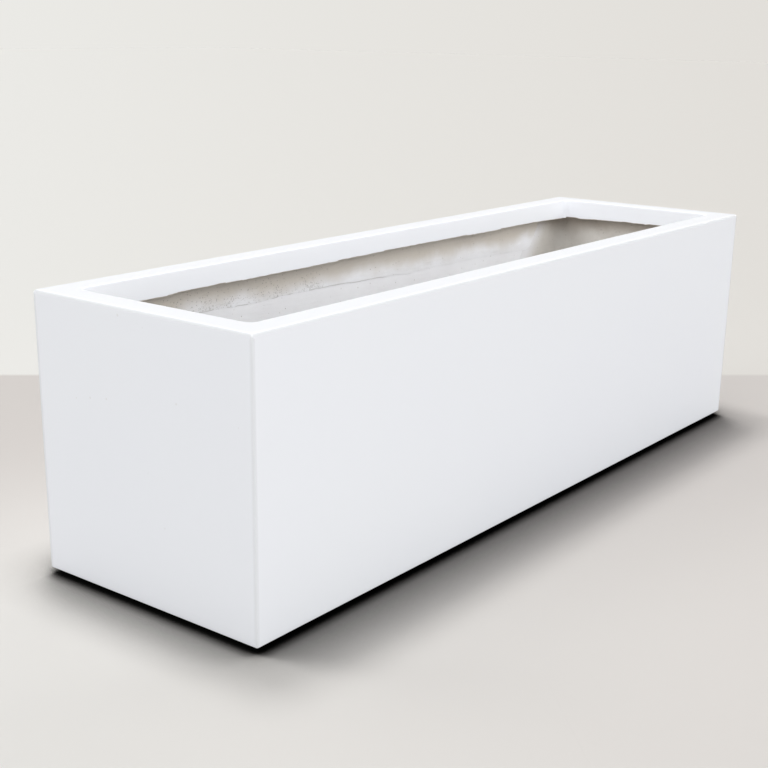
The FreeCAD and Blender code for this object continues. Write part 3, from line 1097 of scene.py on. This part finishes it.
@dataclass(frozen=True)
class LapStrips:
    """The four strips of mat laid over the walls under the rim: rough, pitted, with a torn lower edge and a
    painted shadow line along it.
    """

    sizes: TroughSizes
    step: float = 1.1 * MM
    rows: int = 60
    back_rows: int = 3
    edge_share: float = 0.6
    edge_reach: float = 12 * MM
    rough_height: float = 0.35 * MM
    rough_pitch: float = 11 * MM
    pit_depth: float = 1.1 * MM
    pit_pitch: float = 3.4 * MM
    pit_share: float = 0.5
    pit_band: Pair = (2 * MM, 16 * MM)
    crumb_band: Pair = (8 * MM, 40 * MM)
    crumb_least: float = 0.5
    pit_stretch: Pair = (105 * MM, 420 * MM)
    edge_shadow_stretch: Pair = (-45 * MM, 95 * MM)
    stretch_fade: float = 25 * MM
    cluster_pitch: float = 24 * MM
    cluster_rise: Pair = (-0.5, 0.6)
    tuck: float = 15 * MM
    edge_shadow_width: float = 1.5 * MM
    break_pitch: float = 16 * MM
    break_row: float = 7.0
    break_rise: Pair = (0.1, 0.5)
    torn_height: float = 2.2 * MM
    torn_pitch: float = 60 * MM
    slope: float = -0.017
    least_thickness: float = 0.3 * MM
    SEED = 400

    def build(self, dressing: Dressing) -> None:
        """Make the four strips.

        Args:
            dressing: The materials.
        """
        for side in Side:
            # the end strips take the darker corner laminate as painted shade
            material = dressing.lap if side.is_long else dressing.corner
            make_piece(self.strip(side), side.node("lap_strip"), [material])

    def within(self, along: Array, reach: Pair) -> Array:
        """Share of 1 inside a stretch of the strip, which fades to 0 on both sides of it."""
        (start, end), fade = reach, self.stretch_fade
        return ramp(along, start - fade, start) * (1 - ramp(along, end, end + fade))

    def strip(self, side: Side) -> Skin:
        """Carry a thin upright section along a wall between its corner tapes.

        The front is the mat's thickness, which thins towards the torn lower edge, plus layered waves, less
        the pits. The back lies on the wall.

        Args:
            side: The strip's side.

        Returns:
            The strip's surface.
        """
        sizes = self.sizes
        reach, face = sizes.span(side)
        end = reach - sizes.wall_thickness - sizes.tape_leg + self.tuck
        along = np.linspace(-end, end, round(2 * end / self.step) + 1)[:, None]
        grain = Grain(self.SEED + side.value)
        fray = grain.layers(along, 0.0, self.torn_pitch, Grain.TORN)
        handed = -self.slope if side is Side.BACK else self.slope
        low = sizes.lap_bottom + handed * along + self.torn_height * fray
        rise = np.concatenate([np.linspace(0, 1, self.rows), np.linspace(1, 0, self.back_rows)])
        height = low + rise * (sizes.wall_top - low)
        above = height - low
        clusters = grain.layers(along, height, self.cluster_pitch, Grain.SMOOTH)
        clustered = ramp(clusters, *self.cluster_rise)
        crumbled = self.within(along, self.pit_stretch)
        pits = crumbled * clustered * (1 - ramp(above, *self.pit_band))
        pits = pits * grain.pits(along, height, self.pit_pitch, self.pit_share)
        thin = from_least(self.edge_share, ramp(above, 0, self.edge_reach))
        thickness = sizes.mat_thickness * thin - self.pit_depth * pits
        rough = grain.layers(along, height, self.rough_pitch, Grain.ROUGH)
        thickness = thickness + self.rough_height * rough
        in_front = np.arange(rise.size) < self.rows
        inset = sizes.wall_thickness + in_front * np.maximum(thickness, self.least_thickness)
        skin = carry(side.turn(along, face - inset, height))
        # painted shadow: a dark line, broken in places, along the lowest rows of the lap's lower edge
        gaps = grain.layers(along, self.break_row, self.break_pitch, Grain.SMOOTH)
        broken = crumbled * ramp(gaps, *self.break_rise)
        line = np.maximum(broken, self.within(along, self.edge_shadow_stretch))
        line = line * (1 - ramp(above, 0, self.edge_shadow_width))
        skin.marks["dirt"] = in_front * np.maximum(pits, line)
        dense = from_least(self.crumb_least, clustered)
        skin.marks["crumbs"] = in_front * crumbled * dense * (1 - ramp(above, *self.crumb_band))
        return skin


@dataclass(frozen=True, kw_only=True)
class CovedAngle:
    """An angle of mat between two faces: two legs, a cove between them, and edges that thin out."""

    cove_radius: float
    leg_points: int
    cove_points: int
    edge_share: float
    edge_reach: float
    rough_height: float = 0.35 * MM
    rough_pitch: float = 18 * MM

    def lay(
        self, first: Array, second: Array, thickness: float, rough: Callable[[Array], Array]
    ) -> tuple[Array, Array, Array]:
        """Work out the section at every station, measured from the two faces.

        It runs along the first leg at the mat's thickness, round the cove, along the second leg, and back
        along the faces. The thickness is the mat's plus its roughness, and falls off at both legs' edges.

        Args:
            first: Reach of the first leg at each station, as a column.
            second: Reach of the second leg, likewise.
            thickness: Thickness of the mat.
            rough: Gives the roughness for places along the unrolled section.

        Returns:
            Distances along the first leg's face and along the second's, both of shape (stations, section),
            and how far each point of the front lies from the first leg's edge.
        """
        root = thickness + self.cove_radius
        share = np.linspace(0, 1, self.leg_points)
        turn = np.linspace(0, QUARTER_TURN, self.cove_points + 2)[1:-1]
        first_leg = first + share * (root - first)
        second_leg = root + share * (second - root)
        round_cove = np.broadcast_to(root * turn, (len(first), turn.size))
        after_cove = root * (QUARTER_TURN - 1)
        unrolled = np.concatenate([root - first_leg, round_cove, after_cove + second_leg], axis=1)
        from_first = unrolled + first - root
        from_edge = np.minimum(from_first, after_cove + second - unrolled)
        thin = from_least(self.edge_share, ramp(from_edge, 0, self.edge_reach))
        thick = (thickness + self.rough_height * rough(unrolled)) * thin
        legs = share.size
        inner = root - thick[:, legs:-legs]
        zero = np.zeros_like(first)
        on_first = [first_leg, root - inner * np.sin(turn), thick[:, -legs:], zero, zero, first]
        on_second = [thick[:, :legs], root - inner * np.cos(turn), second_leg, second, zero, zero]
        return np.concatenate(on_first, axis=1), np.concatenate(on_second, axis=1), from_first


@dataclass(frozen=True)
class CornerTapes:
    """The four angles of mat in the inner corners: a cove between two legs with uneven, thinned edges."""

    sizes: TroughSizes
    angle: CovedAngle = CovedAngle(
        cove_radius=24 * MM, leg_points=40, cove_points=14, edge_share=0.12, edge_reach=22 * MM
    )
    step: float = 3 * MM
    proud: float = 0.7 * MM
    fade_reach: float = 58 * MM
    uneven: float = 4 * MM
    uneven_pitch: float = 70 * MM
    wide_slant: float = 52 * MM
    slight_slant: float = 14 * MM
    slant_reach: Pair = (235 * MM, 335 * MM)
    leg_rows: Pair = (0.0, 40.0)
    SEED = 500

    def build(self, dressing: Dressing) -> None:
        """Make the four tapes.

        Args:
            dressing: The materials.
        """
        for number, corner in enumerate(Corner):
            node = f"{corner.name.lower()}_corner_tape"
            tape = self.tape(corner, Grain(self.SEED + number))
            # the tapes' darker laminate is partly painted shade in the corners
            make_piece(tape, node, [dressing.corner])

    def leg(self, grain: Grain, height: Array, slant: float, row: float) -> Array:
        """Reach of a leg from its corner at each height: wider below by its slant, with an uneven edge."""
        wider = slant * (1 - ramp(height, *self.slant_reach))
        edge = self.uneven * grain.layers(height, row, self.uneven_pitch, Grain.UNEVEN)
        return self.sizes.tape_leg - self.uneven + wider + edge

    def tape(self, corner: Corner, grain: Grain) -> Skin:
        """Carry the plan of an angle up a corner.

        Args:
            corner: The tape's corner.
            grain: The tape's noise.

        Returns:
            The tape's surface.
        """
        sizes = self.sizes
        count = round((sizes.wall_top - sizes.tape_bottom) / self.step) + 1
        height = np.linspace(sizes.tape_bottom, sizes.wall_top, count)[:, None]
        slant = self.wide_slant if corner is Corner.BACK_RIGHT else self.slight_slant
        first = self.leg(grain, height, slant, self.leg_rows[0])
        second = self.leg(grain, height, self.slight_slant, self.leg_rows[1])
        from_x, from_y, from_first = self.angle.lay(
            first, second, sizes.mat_thickness + self.proud,
            lambda unrolled: grain.layers(unrolled, height, self.angle.rough_pitch, Grain.ROUGH),
        )
        x = corner.value[0] * (sizes.half_length - sizes.wall_thickness - from_x)
        y = corner.value[1] * (sizes.half_width - sizes.wall_thickness - from_y)
        skin = carry(np.stack(np.broadcast_arrays(x, y, height), axis=-1))
        feather = 1 - ramp(from_first, 0, self.fade_reach)
        skin.marks["feather"] = np.pad(feather, ((0, 0), (0, x.shape[1] - feather.shape[1])))
        return skin


@dataclass(frozen=True)
class BaseTapes:
    """The four angles of mat between base and walls: coved, mitred, with uneven edges."""

    sizes: TroughSizes
    angle: CovedAngle = CovedAngle(
        cove_radius=18 * MM, leg_points=14, cove_points=10, edge_share=0.3, edge_reach=14 * MM
    )
    step: float = 4 * MM
    corner_radius: float = 20 * MM
    back_radius: float = 0.6 * MM
    uneven: float = 3 * MM
    uneven_pitch: float = 80 * MM
    leg_rows: Pair = (0.0, 1.0)
    SEED = 600

    def build(self, dressing: Dressing) -> None:
        """Make the four tapes.

        Args:
            dressing: The materials.
        """
        for run in self.sizes.runs(self.step):
            make_piece(self.tape(run), run.side.node("base_tape"), [dressing.base])

    def tape(self, run: Run) -> Skin:
        """Carry the section of an angle along a side, with its first leg up the wall.

        Args:
            run: The side's stations.

        Returns:
            The tape's surface.
        """
        sizes, along = self.sizes, run.along()
        grain = Grain(self.SEED + run.side.value)
        edges = (grain.layers(along, row, self.uneven_pitch, Grain.UNEVEN) for row in self.leg_rows)
        up, across = (sizes.base_tape_leg + self.uneven * (edge - 1) for edge in edges)
        from_base, from_wall, _ = self.angle.lay(
            up, across, sizes.mat_thickness,
            lambda unrolled: grain.layers(along, unrolled, self.angle.rough_pitch, Grain.ROUGH),
        )
        radius = np.full(from_wall.shape[1], self.corner_radius)
        radius[-2:] = self.back_radius
        return carry(run.place(sizes.wall_thickness + from_wall, sizes.base_top + from_base, radius))


@dataclass(frozen=True)
class BasePanel:
    """The base: a slab of laminate with a round hole for each drain."""

    hole_radius: float = 16.1 * MM
    step: float = 8 * MM
    rings: int = 26
    rough_height: float = 0.4 * MM
    rough_pitch: float = 30 * MM
    SEED = 700

    def build(self, dressing: Dressing) -> None:
        """Make the slab from one cell round each drain.

        Args:
            dressing: The materials.
        """
        low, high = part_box("base_panel")
        middles = [sum(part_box(f"{where}_drain_bush"), Vector()).x / 2 for where in Drains.PLACES]
        edges = [low.x, *((a + b) / 2 for a, b in zip(middles, middles[1:])), high.x]
        cells = [self.cell(x, edges[k], edges[k + 1], low, high) for k, x in enumerate(middles)]
        starts = np.cumsum([0] + [len(points) for points, _ in cells])
        points = np.concatenate([points for points, _ in cells])
        quads = np.concatenate([faces + start for (_, faces), start in zip(cells, starts)])
        points, quads = weld(points, quads)
        skin = Skin(points, quads, np.zeros(len(quads), int)).face_outwards()
        make_piece(skin, "base_panel", [dressing.base])

    def cell(
        self, middle: float, left: float, right: float, low: Vector, high: Vector
    ) -> tuple[Array, Array]:
        """Make the stretch of slab round one drain.

        A point of its top or underside lies on the line from the hole's edge to the cell's, at a share that
        grows by its square, so that rings crowd round the hole.

        Args:
            middle: Place of the drain along the trough.
            left, right: Edges of the cell.
            low, high: Lowest and highest corner of the slab.

        Returns:
            Points, and faces of four points. The cell's inner borders have no wall.
        """
        columns, rows = round((right - left) / self.step), round((high.y - low.y) / self.step)
        corners = [(left, low.y), (right, low.y), (right, high.y), (left, high.y), (left, low.y)]
        counts = (columns, rows, columns, rows)
        border = np.concatenate([stretch(*ends) for ends in zip(corners, corners[1:], counts)])
        from_middle = border - (middle, 0.0)
        angle = np.arctan2(from_middle[:, 1], from_middle[:, 0])
        hole = (middle, 0.0) + self.hole_radius * np.stack([np.cos(angle), np.sin(angle)], axis=-1)
        share = (np.linspace(0, 1, self.rings) ** 2)[:, None, None]
        plan = hole + share * (border - hole)
        rough = Grain(self.SEED).layers(*np.moveaxis(plan, -1, 0), self.rough_pitch, Grain.ROUGH)
        top_height = high.z - self.rough_height * (1 + rough) / 2
        top = np.concatenate([plan, top_height[..., None]], axis=-1)
        under = np.concatenate([plan[::-1], np.full((*plan.shape[:2], 1), low.z)], axis=-1)
        points = np.concatenate([top, under])
        _, quads = grid_faces(*points.shape[:2])
        between = (border + np.roll(border, -1, axis=0)) / 2
        at_sides = np.abs(np.abs(between[:, 1]) - high.y) < MM
        walled = np.ones(quads.shape[:2], bool)
        walled[self.rings - 1] = at_sides | np.isin(between[:, 0], (low.x, high.x))
        return points.reshape(-1, 3), quads[walled]


def weld(points: Array, quads: Array) -> tuple[Array, Array]:
    """Join points that share a place to a thousandth of a millimetre.

    Args:
        points: Points, some of them at the same place.
        quads: Faces of four points.

    Returns:
        Points at separate places, and the faces on them.
    """
    places = np.round(points / WELD_GAP).astype(np.int64)
    _, first, where = np.unique(places, axis=0, return_index=True, return_inverse=True)
    return points[first], where.reshape(-1)[quads]


def rings(half_x: Array, half_y: Array, power: Array, height: Array, middle: Vector, count: int) -> Array:
    """Stack closed rings on an upright axis.

    A ring is the curve |x / half_x|^power + |y / half_y|^power = 1: a round at 2, and squarer above it.

    Args:
        half_x, half_y: Half of each ring's size along X and Y.
        power: Power of each ring.
        height: Height of each ring above the middle.
        middle: Place of the axis, and height from which the rings are measured.
        count: Points of a ring.

    Returns:
        Points of shape (rings, count, 3).
    """
    angle = (np.arange(count) + 0.5) * 2 * math.pi / count
    cosine, sine = np.cos(angle), np.sin(angle)
    bulge = 2 / power[:, None]
    x = half_x[:, None] * np.sign(cosine) * np.abs(cosine) ** bulge
    y = half_y[:, None] * np.sign(sine) * np.abs(sine) ** bulge
    return np.stack(np.broadcast_arrays(x, y, height[:, None]), axis=-1) + np.array(middle)


def turned(profile: list[Array], middle: Vector, count: int) -> Skin:
    """Turn a closed profile of radius and height about an upright axis.

    Args:
        profile: Stretches and bends of radius and height.
        middle: Place of the axis, and height from which the profile is measured.
        count: Points round the axis.

    Returns:
        The closed surface.
    """
    radius, height = np.concatenate(profile).T
    return carry(rings(radius, radius, np.full(radius.size, 2.0), height, middle, count), ring=True)


@dataclass(frozen=True)
class Drains:
    """The three drains: a flanged bush through the base, and a rubber plug with a tab to pull."""

    bore_radius: float = 12 * MM
    barrel_radius: float = 16 * MM
    flange_radius: float = 26 * MM
    flange_thickness: float = 3 * MM
    edge: float = 0.9 * MM
    mouth_chamfer: float = 0.8 * MM
    groove_radius: float = 21.5 * MM
    groove: float = 0.5 * MM
    shank_radius: float = 11.7 * MM
    shank_taper: float = 1.5 * MM
    shank_length: float = 12 * MM
    seal_depth: float = 0.5 * MM
    seal_places: Pair = (0.35, 0.7)
    seal_width: float = 0.06
    head_radius: float = 18 * MM
    head_thickness: float = 3.5 * MM
    tab_length: float = 24 * MM
    tab_thickness: float = 6 * MM
    tab_height: float = 11 * MM
    tab_draft: float = 3 * MM
    tab_round: float = 2 * MM
    tab_power: float = 5.0
    root_round: float = 1.6 * MM
    bush_points: int = 96
    plug_points: int = 72
    crown_start: float = 8.0
    crown_rings: int = 7
    side_rings: int = 8
    flare_rings: int = 6
    spread_rings: int = 7
    edge_rings: int = 9
    shank_rings: int = 40
    PLACES = ("left", "centre", "right")

    def build(self, dressing: Dressing) -> None:
        """Make the bushes and the plugs.

        Args:
            dressing: The materials.
        """
        for where in self.PLACES:
            low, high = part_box(f"{where}_drain_bush")
            seat = Vector(((low.x + high.x) / 2, (low.y + high.y) / 2, high.z))
            bush = turned(self.bush_profile(high.z - low.z), seat, self.bush_points)
            make_piece(bush, f"{where}_drain_bush", [dressing.drain])
            plug = self.plug(seat)
            make_piece(plug, f"{where}_drain_plug", [dressing.plug], f"{where}_plug")

    def bush_profile(self, depth: float) -> list[Array]:
        """Section of a bush, measured down from the top of its flange.

        Args:
            depth: Height of the whole bush.

        Returns:
            Stretches and bends of radius and height.
        """
        bore, barrel, flange = self.bore_radius, self.barrel_radius, self.flange_radius
        thick = self.flange_thickness
        edge, chamfer, groove, at = self.edge, self.mouth_chamfer, self.groove, self.groove_radius
        return [
            stretch((bore, -depth), (bore, -chamfer), 5),
            stretch((bore, -chamfer), (bore + chamfer, 0), 2),
            stretch((bore + chamfer, 0), (at - groove, 0), 4),
            bend((at, 0), groove, 180, 360, 6),
            stretch((at + groove, 0), (flange - edge, 0), 3),
            bend((flange - edge, -edge), edge, 90, 0, 5),
            stretch((flange, -edge), (flange, -thick), 2),
            stretch((flange, -thick), (barrel, -thick), 3),
            stretch((barrel, -thick), (barrel, edge - depth), 4),
            stretch((barrel, edge - depth), (barrel - edge, -depth), 2),
            stretch((barrel - edge, -depth), (bore, -depth), 3),
        ]

    def plug(self, seat: Vector) -> Skin:
        """Stack rings from the crown of the tab down to the end of the shank.

        Rings grow over the tab's rounded crown, widen down its drafted sides, flare round its root, spread
        into the round head, turn over its edge and taper down the shank past two sealing grooves.

        Args:
            seat: Middle of the bush's flange, on which the head sits.

        Returns:
            The plug's surface.
        """
        soft, root, head, edge = self.tab_round, self.root_round, self.head_thickness, self.edge
        half, thin, top = self.tab_length / 2, self.tab_thickness / 2, head + self.tab_height
        crown = np.radians(np.linspace(self.crown_start, 90, self.crown_rings))
        down = np.linspace(0, 1, self.side_rings)[1:-1]
        flare = np.radians(np.linspace(0, 90, self.flare_rings))
        spread = np.linspace(0, 1, self.spread_rings)[1:]
        over = np.radians(np.linspace(90, -90, self.edge_rings))
        shank = np.linspace(0, 1, self.shank_rings)
        seals = sum(np.exp(-(((shank - place) / self.seal_width) ** 2)) for place in self.seal_places)
        taper = self.shank_radius - self.shank_taper * shank - self.seal_depth * seals
        rim = self.head_radius - edge
        halves = []
        for crest, foot in ((half - self.tab_draft, half), (thin, thin)):
            flared = foot + root * (1 - np.cos(flare))
            halves.append(np.concatenate([
                crest - soft + soft * np.sin(crown), crest + (foot - crest) * down, flared,
                flared[-1] + spread * (rim - flared[-1]), rim + edge * np.cos(over),
                taper, [taper[-1] - edge],
            ]))
        squareness = np.zeros(halves[0].size)
        tab_rings = crown.size + down.size + flare.size
        squareness[:tab_rings] = 1
        squareness[tab_rings:tab_rings + spread.size] = 1 - spread
        height = np.concatenate([
            top - soft + soft * np.cos(crown), top - soft + (head + root - top + soft) * down,
            head + root * (1 - np.sin(flare)), np.full(spread.size, head),
            head / 2 + (head / 2) * np.sin(over),
            -shank * self.shank_length, [-self.shank_length - edge / 2],
        ])
        power = 2 + (self.tab_power - 2) * squareness
        return carry(rings(*halves, power, height, seat, self.plug_points))


@dataclass(frozen=True)
class Feet:
    """The six rubber pads under the base, with their plated washers and screws."""

    pad_radius: float = 20 * MM
    draft: float = 2 * MM
    recess_radius: float = 6.5 * MM
    recess_depth: float = 4.5 * MM
    hole_radius: float = 2.2 * MM
    edge: float = 1.0 * MM
    pad_points: int = 64
    ROWS = ("front", "back")
    FASTENERS = ("foot_washers", "foot_screws")

    def build(self, dressing: Dressing) -> None:
        """Make the pads, and plate the fasteners that the part carries.

        Args:
            dressing: The materials.
        """
        for node in (f"{row}_{column}_foot_pad" for row in self.ROWS for column in Drains.PLACES):
            low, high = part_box(node)
            foot = Vector(((low.x + high.x) / 2, (low.y + high.y) / 2, low.z))
            pad = turned(self.profile(high.z - low.z), foot, self.pad_points)
            make_piece(pad, node, [dressing.pad])
        for node in self.FASTENERS:
            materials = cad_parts[node].data.materials
            materials.clear()
            materials.append(dressing.steel)
            LOG.info("%s: plated", node)

    def profile(self, tall: float) -> list[Array]:
        """Section of a pad, measured up from the floor: the screw's hole, its recess, the tread and the side.

        Args:
            tall: Height of the pad.

        Returns:
            Stretches and bends of radius and height.
        """
        hole, recess, deep, edge = self.hole_radius, self.recess_radius, self.recess_depth, self.edge
        wide, foot = self.pad_radius, self.pad_radius - self.draft
        return [
            stretch((hole, tall), (hole, deep), 2),
            stretch((hole, deep), (recess, deep), 3),
            stretch((recess, deep), (recess, edge), 3),
            bend((recess + edge, edge), edge, 180, 270, 4),
            stretch((recess + edge, 0), (foot - edge, 0), 4),
            bend((foot - edge, edge), edge, 270, 360, 4),
            stretch((foot, edge), (wide, tall - edge), 4),
            bend((wide - edge, tall - edge), edge, 0, 90, 4),
            stretch((wide - edge, tall), (hole, tall), 4),
        ]


def bearing(azimuth: float, elevation: float) -> Vector:
    """Direction of a station seen from the trough, by its angles in degrees, where azimuth 0 stands at -Y."""
    a, e = math.radians(azimuth), math.radians(elevation)
    return Vector((math.sin(a) * math.cos(e), -math.cos(a) * math.cos(e), math.sin(e)))


@dataclass(frozen=True)
class PhotoCamera:
    """The camera where the photograph was taken, in the part's frame."""

    station: tuple[float, float, float] = (-1.5170, -1.0511, 0.6529)
    azimuth: float = -52.364
    elevation: float = 16.991
    roll: float = 0.821
    lens: float = 60.28
    sensor: float = 36.0
    shift_up: float = 0.0495
    picture: int = 768

    def turn(self) -> Quaternion:
        """Turn of the camera, which looks back along its bearing. The roll lifts the picture's right side."""
        ahead = -bearing(self.azimuth, self.elevation)
        return ahead.to_track_quat("-Z", "Y") @ Quaternion((0, 0, 1), math.radians(self.roll))

    def on_floor(self, column: float, row: float) -> Vector:
        """Point of the floor that a pixel shows.

        Args:
            column: Pixels from the picture's left.
            row: Pixels from its top.

        Returns:
            The point, at height 0.
        """
        scale = self.sensor / self.lens / self.picture
        half = self.picture / 2
        local = Vector(((column - half) * scale, (half - row + self.shift_up * self.picture) * scale, -1))
        ray = self.turn() @ local
        station = Vector(self.station)
        return station - ray * (station.z / ray.z)

    def build(self) -> None:
        """Make the camera and give it to the scene."""
        data = bpy.data.cameras.new("photo_camera")
        data.lens = self.lens
        data.sensor_width = self.sensor
        data.shift_y = self.shift_up
        camera = add_object("photo_camera", data)
        camera.location = self.station
        camera.rotation_mode = "QUATERNION"
        camera.rotation_quaternion = self.turn()
        bpy.context.scene.camera = camera


class Lit(Enum):
    """What a light falls on: the floor alone, or all but the floor."""

    FLOOR = "INCLUDE"
    TROUGH = "EXCLUDE"


@dataclass(frozen=True)
class SoftSun:
    """One wide, even light: where it stands, its share of full light, how wide it is and what it falls on."""

    name: str
    azimuth: float
    elevation: float
    share: float
    width: float
    lit: Lit

    def build(self, floor: bpy.types.Object) -> None:
        """Make the light.

        Args:
            floor: The floor, which the light falls on alone or leaves out.
        """
        data = bpy.data.lights.new(self.name, "SUN")
        data.energy = self.share * math.pi
        data.angle = math.radians(self.width)
        light = add_object(self.name, data)
        light.rotation_mode = "QUATERNION"
        light.rotation_quaternion = bearing(self.azimuth, self.elevation).to_track_quat("Z", "Y")
        falls_on = bpy.data.collections.new(f"{self.name}_falls_on")
        falls_on.objects.link(floor)
        falls_on.collection_objects[0].light_linking.link_state = self.lit.value
        light.light_linking.receiver_collection = falls_on


@dataclass(frozen=True)
class Studio:
    """Pale floor that greys towards its far line and from left to right, a backdrop that fades from left to
    right, soft lights and the photograph's camera.
    """

    camera: PhotoCamera = PhotoCamera()
    lights: tuple[SoftSun, ...] = (
        SoftSun("floor_light_high_right", 143.0, 72.0, 0.26, 12.0, Lit.FLOOR),
        SoftSun("floor_light_high_left", 201.0, 72.0, 0.24, 12.0, Lit.FLOOR),
        SoftSun("floor_light_back", 180.0, 45.0, 0.23, 40.0, Lit.FLOOR),
        SoftSun("floor_light_right", 105.0, 45.0, 0.2, 50.0, Lit.FLOOR),
        SoftSun("floor_light_left", 255.0, 45.0, 0.19, 50.0, Lit.FLOOR),
        SoftSun("top_light", 148.0, 76.0, 0.37, 26.0, Lit.TROUGH),
        SoftSun("front_fill", 2.0, 26.0, 0.845, 60.0, Lit.TROUGH),
        SoftSun("end_fill", -93.0, 26.0, 0.73, 60.0, Lit.TROUGH),
        SoftSun("back_fill", 180.0, 3.0, 0.35, 5.0, Lit.TROUGH),
        SoftSun("right_fill", 90.0, 3.0, 0.3, 5.0, Lit.TROUGH),
    )
    ambient: float = 0.08
    floor_bounce: float = 0.46
    shades: tuple[Pair, ...] = ((0.2, 0.9), (0.1, 0.34), (0.02, 0.06))
    shade_rise: Pair = (0.5, 1.0)
    shade_samples: int = 8
    floor_roughness: float = 0.9
    floor_half: float = 30.0
    floor_line: float = 375.0
    line_softness: float = 9 * MM
    near_left: Colour = tone(229, 227, 223)
    near_right: Colour = tone(221, 217, 213)
    far_floor: Colour = tone(213, 208, 204)
    floor_fade: Pair = (0.4, 1.27)
    backdrop_left: Colour = tone(235, 234, 230)
    backdrop_right: Colour = tone(226, 223, 218)
    backdrop_reach: Pair = (-0.28, 0.28)

    @property
    def floor_light(self) -> float:
        """Light on the open floor, where 1 shows a colour as it is written."""
        on_floor = [light for light in self.lights if light.lit is Lit.FLOOR]
        levels = (light.share * math.sin(math.radians(light.elevation)) for light in on_floor)
        return self.ambient + sum(levels)

    def build(self) -> None:
        """Make the camera, the surroundings, the floor and the lights."""
        bpy.context.scene.view_settings.view_transform = "Standard"
        self.camera.build()
        tones = self.backdrop_group()
        self.build_world(tones)
        floor = self.build_floor(tones)
        for light in self.lights:
            light.build(floor)

    def backdrop_group(self) -> Tree:
        """Make the backdrop's colour for a direction from the camera, which fades from left to right.

        Returns:
            The node group.
        """
        outputs = {"Colour": "Color", "Across": "Float"}
        bench, given, wanted = new_group("backdrop_tone", {"Direction": None}, outputs)
        rightwards = tuple(self.camera.turn() @ Vector((1, 0, 0)))
        across = bench.vector("DOT_PRODUCT", bench.vector("NORMALIZE", given["Direction"]), rightwards)
        share = bench.span(across, self.backdrop_reach, 0.0, 1.0)
        bench.fill(wanted["Colour"], bench.blend(share, self.backdrop_left, self.backdrop_right))
        bench.fill(wanted["Across"], share)
        return bench.tree

    def build_world(self, tones: Tree) -> None:
        """Light the scene evenly, and show the backdrop's colour to the camera and in reflections.

        Args:
            tones: The backdrop's colours.
        """
        world = bpy.data.worlds.new("studio")
        world.use_nodes = True
        bpy.context.scene.world = world
        bench = Bench(world.node_tree)
        world.node_tree.nodes.clear()
        seen = bench.group(tones, {"Direction": bench.add("TexCoord").outputs["Generated"]})["Colour"]
        path = bench.add("LightPath").outputs
        shows = bench.reckon("MAXIMUM", path["Is Camera Ray"], path["Is Glossy Ray"])
        shows = bench.reckon("MAXIMUM", shows, path["Is Transmission Ray"])
        glow = bench.add("Background", {"Color": (1.0, 1.0, 1.0, 1.0), "Strength": self.ambient})
        backdrop = bench.add("Background", {"Color": seen, "Strength": 1.0})
        mixed = bench.add("MixShader", {0: shows, 1: glow.outputs[0], 2: backdrop.outputs[0]})
        bench.add("OutputWorld", {"Surface": mixed.outputs[0]})

    def build_floor(self, tones: Tree) -> bpy.types.Object:
        """Make the floor: pale near the camera, darker towards its line, the backdrop's colour beyond.

        Args:
            tones: The backdrop's colours.

        Returns:
            The floor.
        """
        corners = self.floor_half * np.array([(-1, -1, 0), (1, -1, 0), (1, 1, 0), (-1, 1, 0)])
        mesh = bpy.data.meshes.new("studio_floor")
        mesh.from_pydata(corners.tolist(), [], [(0, 1, 2, 3)])
        mesh.materials.append(self.floor_material(tones))
        floor = add_object("studio_floor", mesh)
        return floor

    def floor_material(self, tones: Tree) -> Material:
        """Colour the floor by its distance from the line that the photograph shows behind the trough, and
        darken it near the trough with painted shadow.

        Args:
            tones: The backdrop's colours.

        Returns:
            The material.
        """
        bench = MaterialBench("studio_floor")
        left = self.camera.on_floor(0, self.floor_line)
        right = self.camera.on_floor(self.camera.picture, self.floor_line)
        beyond = Vector((left.y - right.y, right.x - left.x, 0)).normalized()
        from_line = bench.vector("SUBTRACT", bench.place, tuple(left))
        depth = bench.vector("DOT_PRODUCT", from_line, tuple(beyond))
        direction = bench.vector("SUBTRACT", bench.place, self.camera.station)
        backdrop = bench.group(tones, {"Direction": direction})
        pale = bench.blend(backdrop["Across"], self.near_left, self.near_right)
        start, end = self.floor_fade
        grey = bench.blend(bench.span(depth, (-end, -start), 0.0, 1.0, "SMOOTHSTEP"), pale, self.far_floor)
        past = bench.span(depth, (-self.line_softness, self.line_softness), 0.0, 1.0)
        colour = bench.blend(past, grey, backdrop["Colour"])
        seen = bench.add("LightPath").outputs["Is Camera Ray"]
        level = bench.span(seen, (0.0, 1.0), self.floor_bounce / self.floor_light, 1 / self.floor_light)
        # painted shadow: ambient occlusion darkens the floor's colour near the trough
        for reach, darkest in self.shades:
            near = bench.add("AmbientOcclusion", {"Distance": reach}, samples=self.shade_samples)
            shade = bench.span(near.outputs["AO"], self.shade_rise, darkest, 1.0, "SMOOTHSTEP")
            level = bench.reckon("MULTIPLY", level, shade)
        shaded = bench.add("VectorMath", {0: colour, "Scale": level}, operation="SCALE").outputs[0]
        plain = {"Roughness": self.floor_roughness, "Specular IOR Level": 0.0}
        return bench.finish({"Base Color": shaded, **plain})


def main() -> None:
    """Dress every piece of the trough, then set the stage."""
    logging.basicConfig(level=logging.INFO, format="%(message)s")
    dressing = Dressing()
    sizes = TroughSizes.from_frame()
    on_sides = [kind(sizes) for kind in (Walls, Rims, LapStrips, CornerTapes, BaseTapes)]
    for assembly in (*on_sides, BasePanel(), Drains(), Feet()):
        assembly.build(dressing)
    Studio().build()


if __name__ == "__main__":
    main()
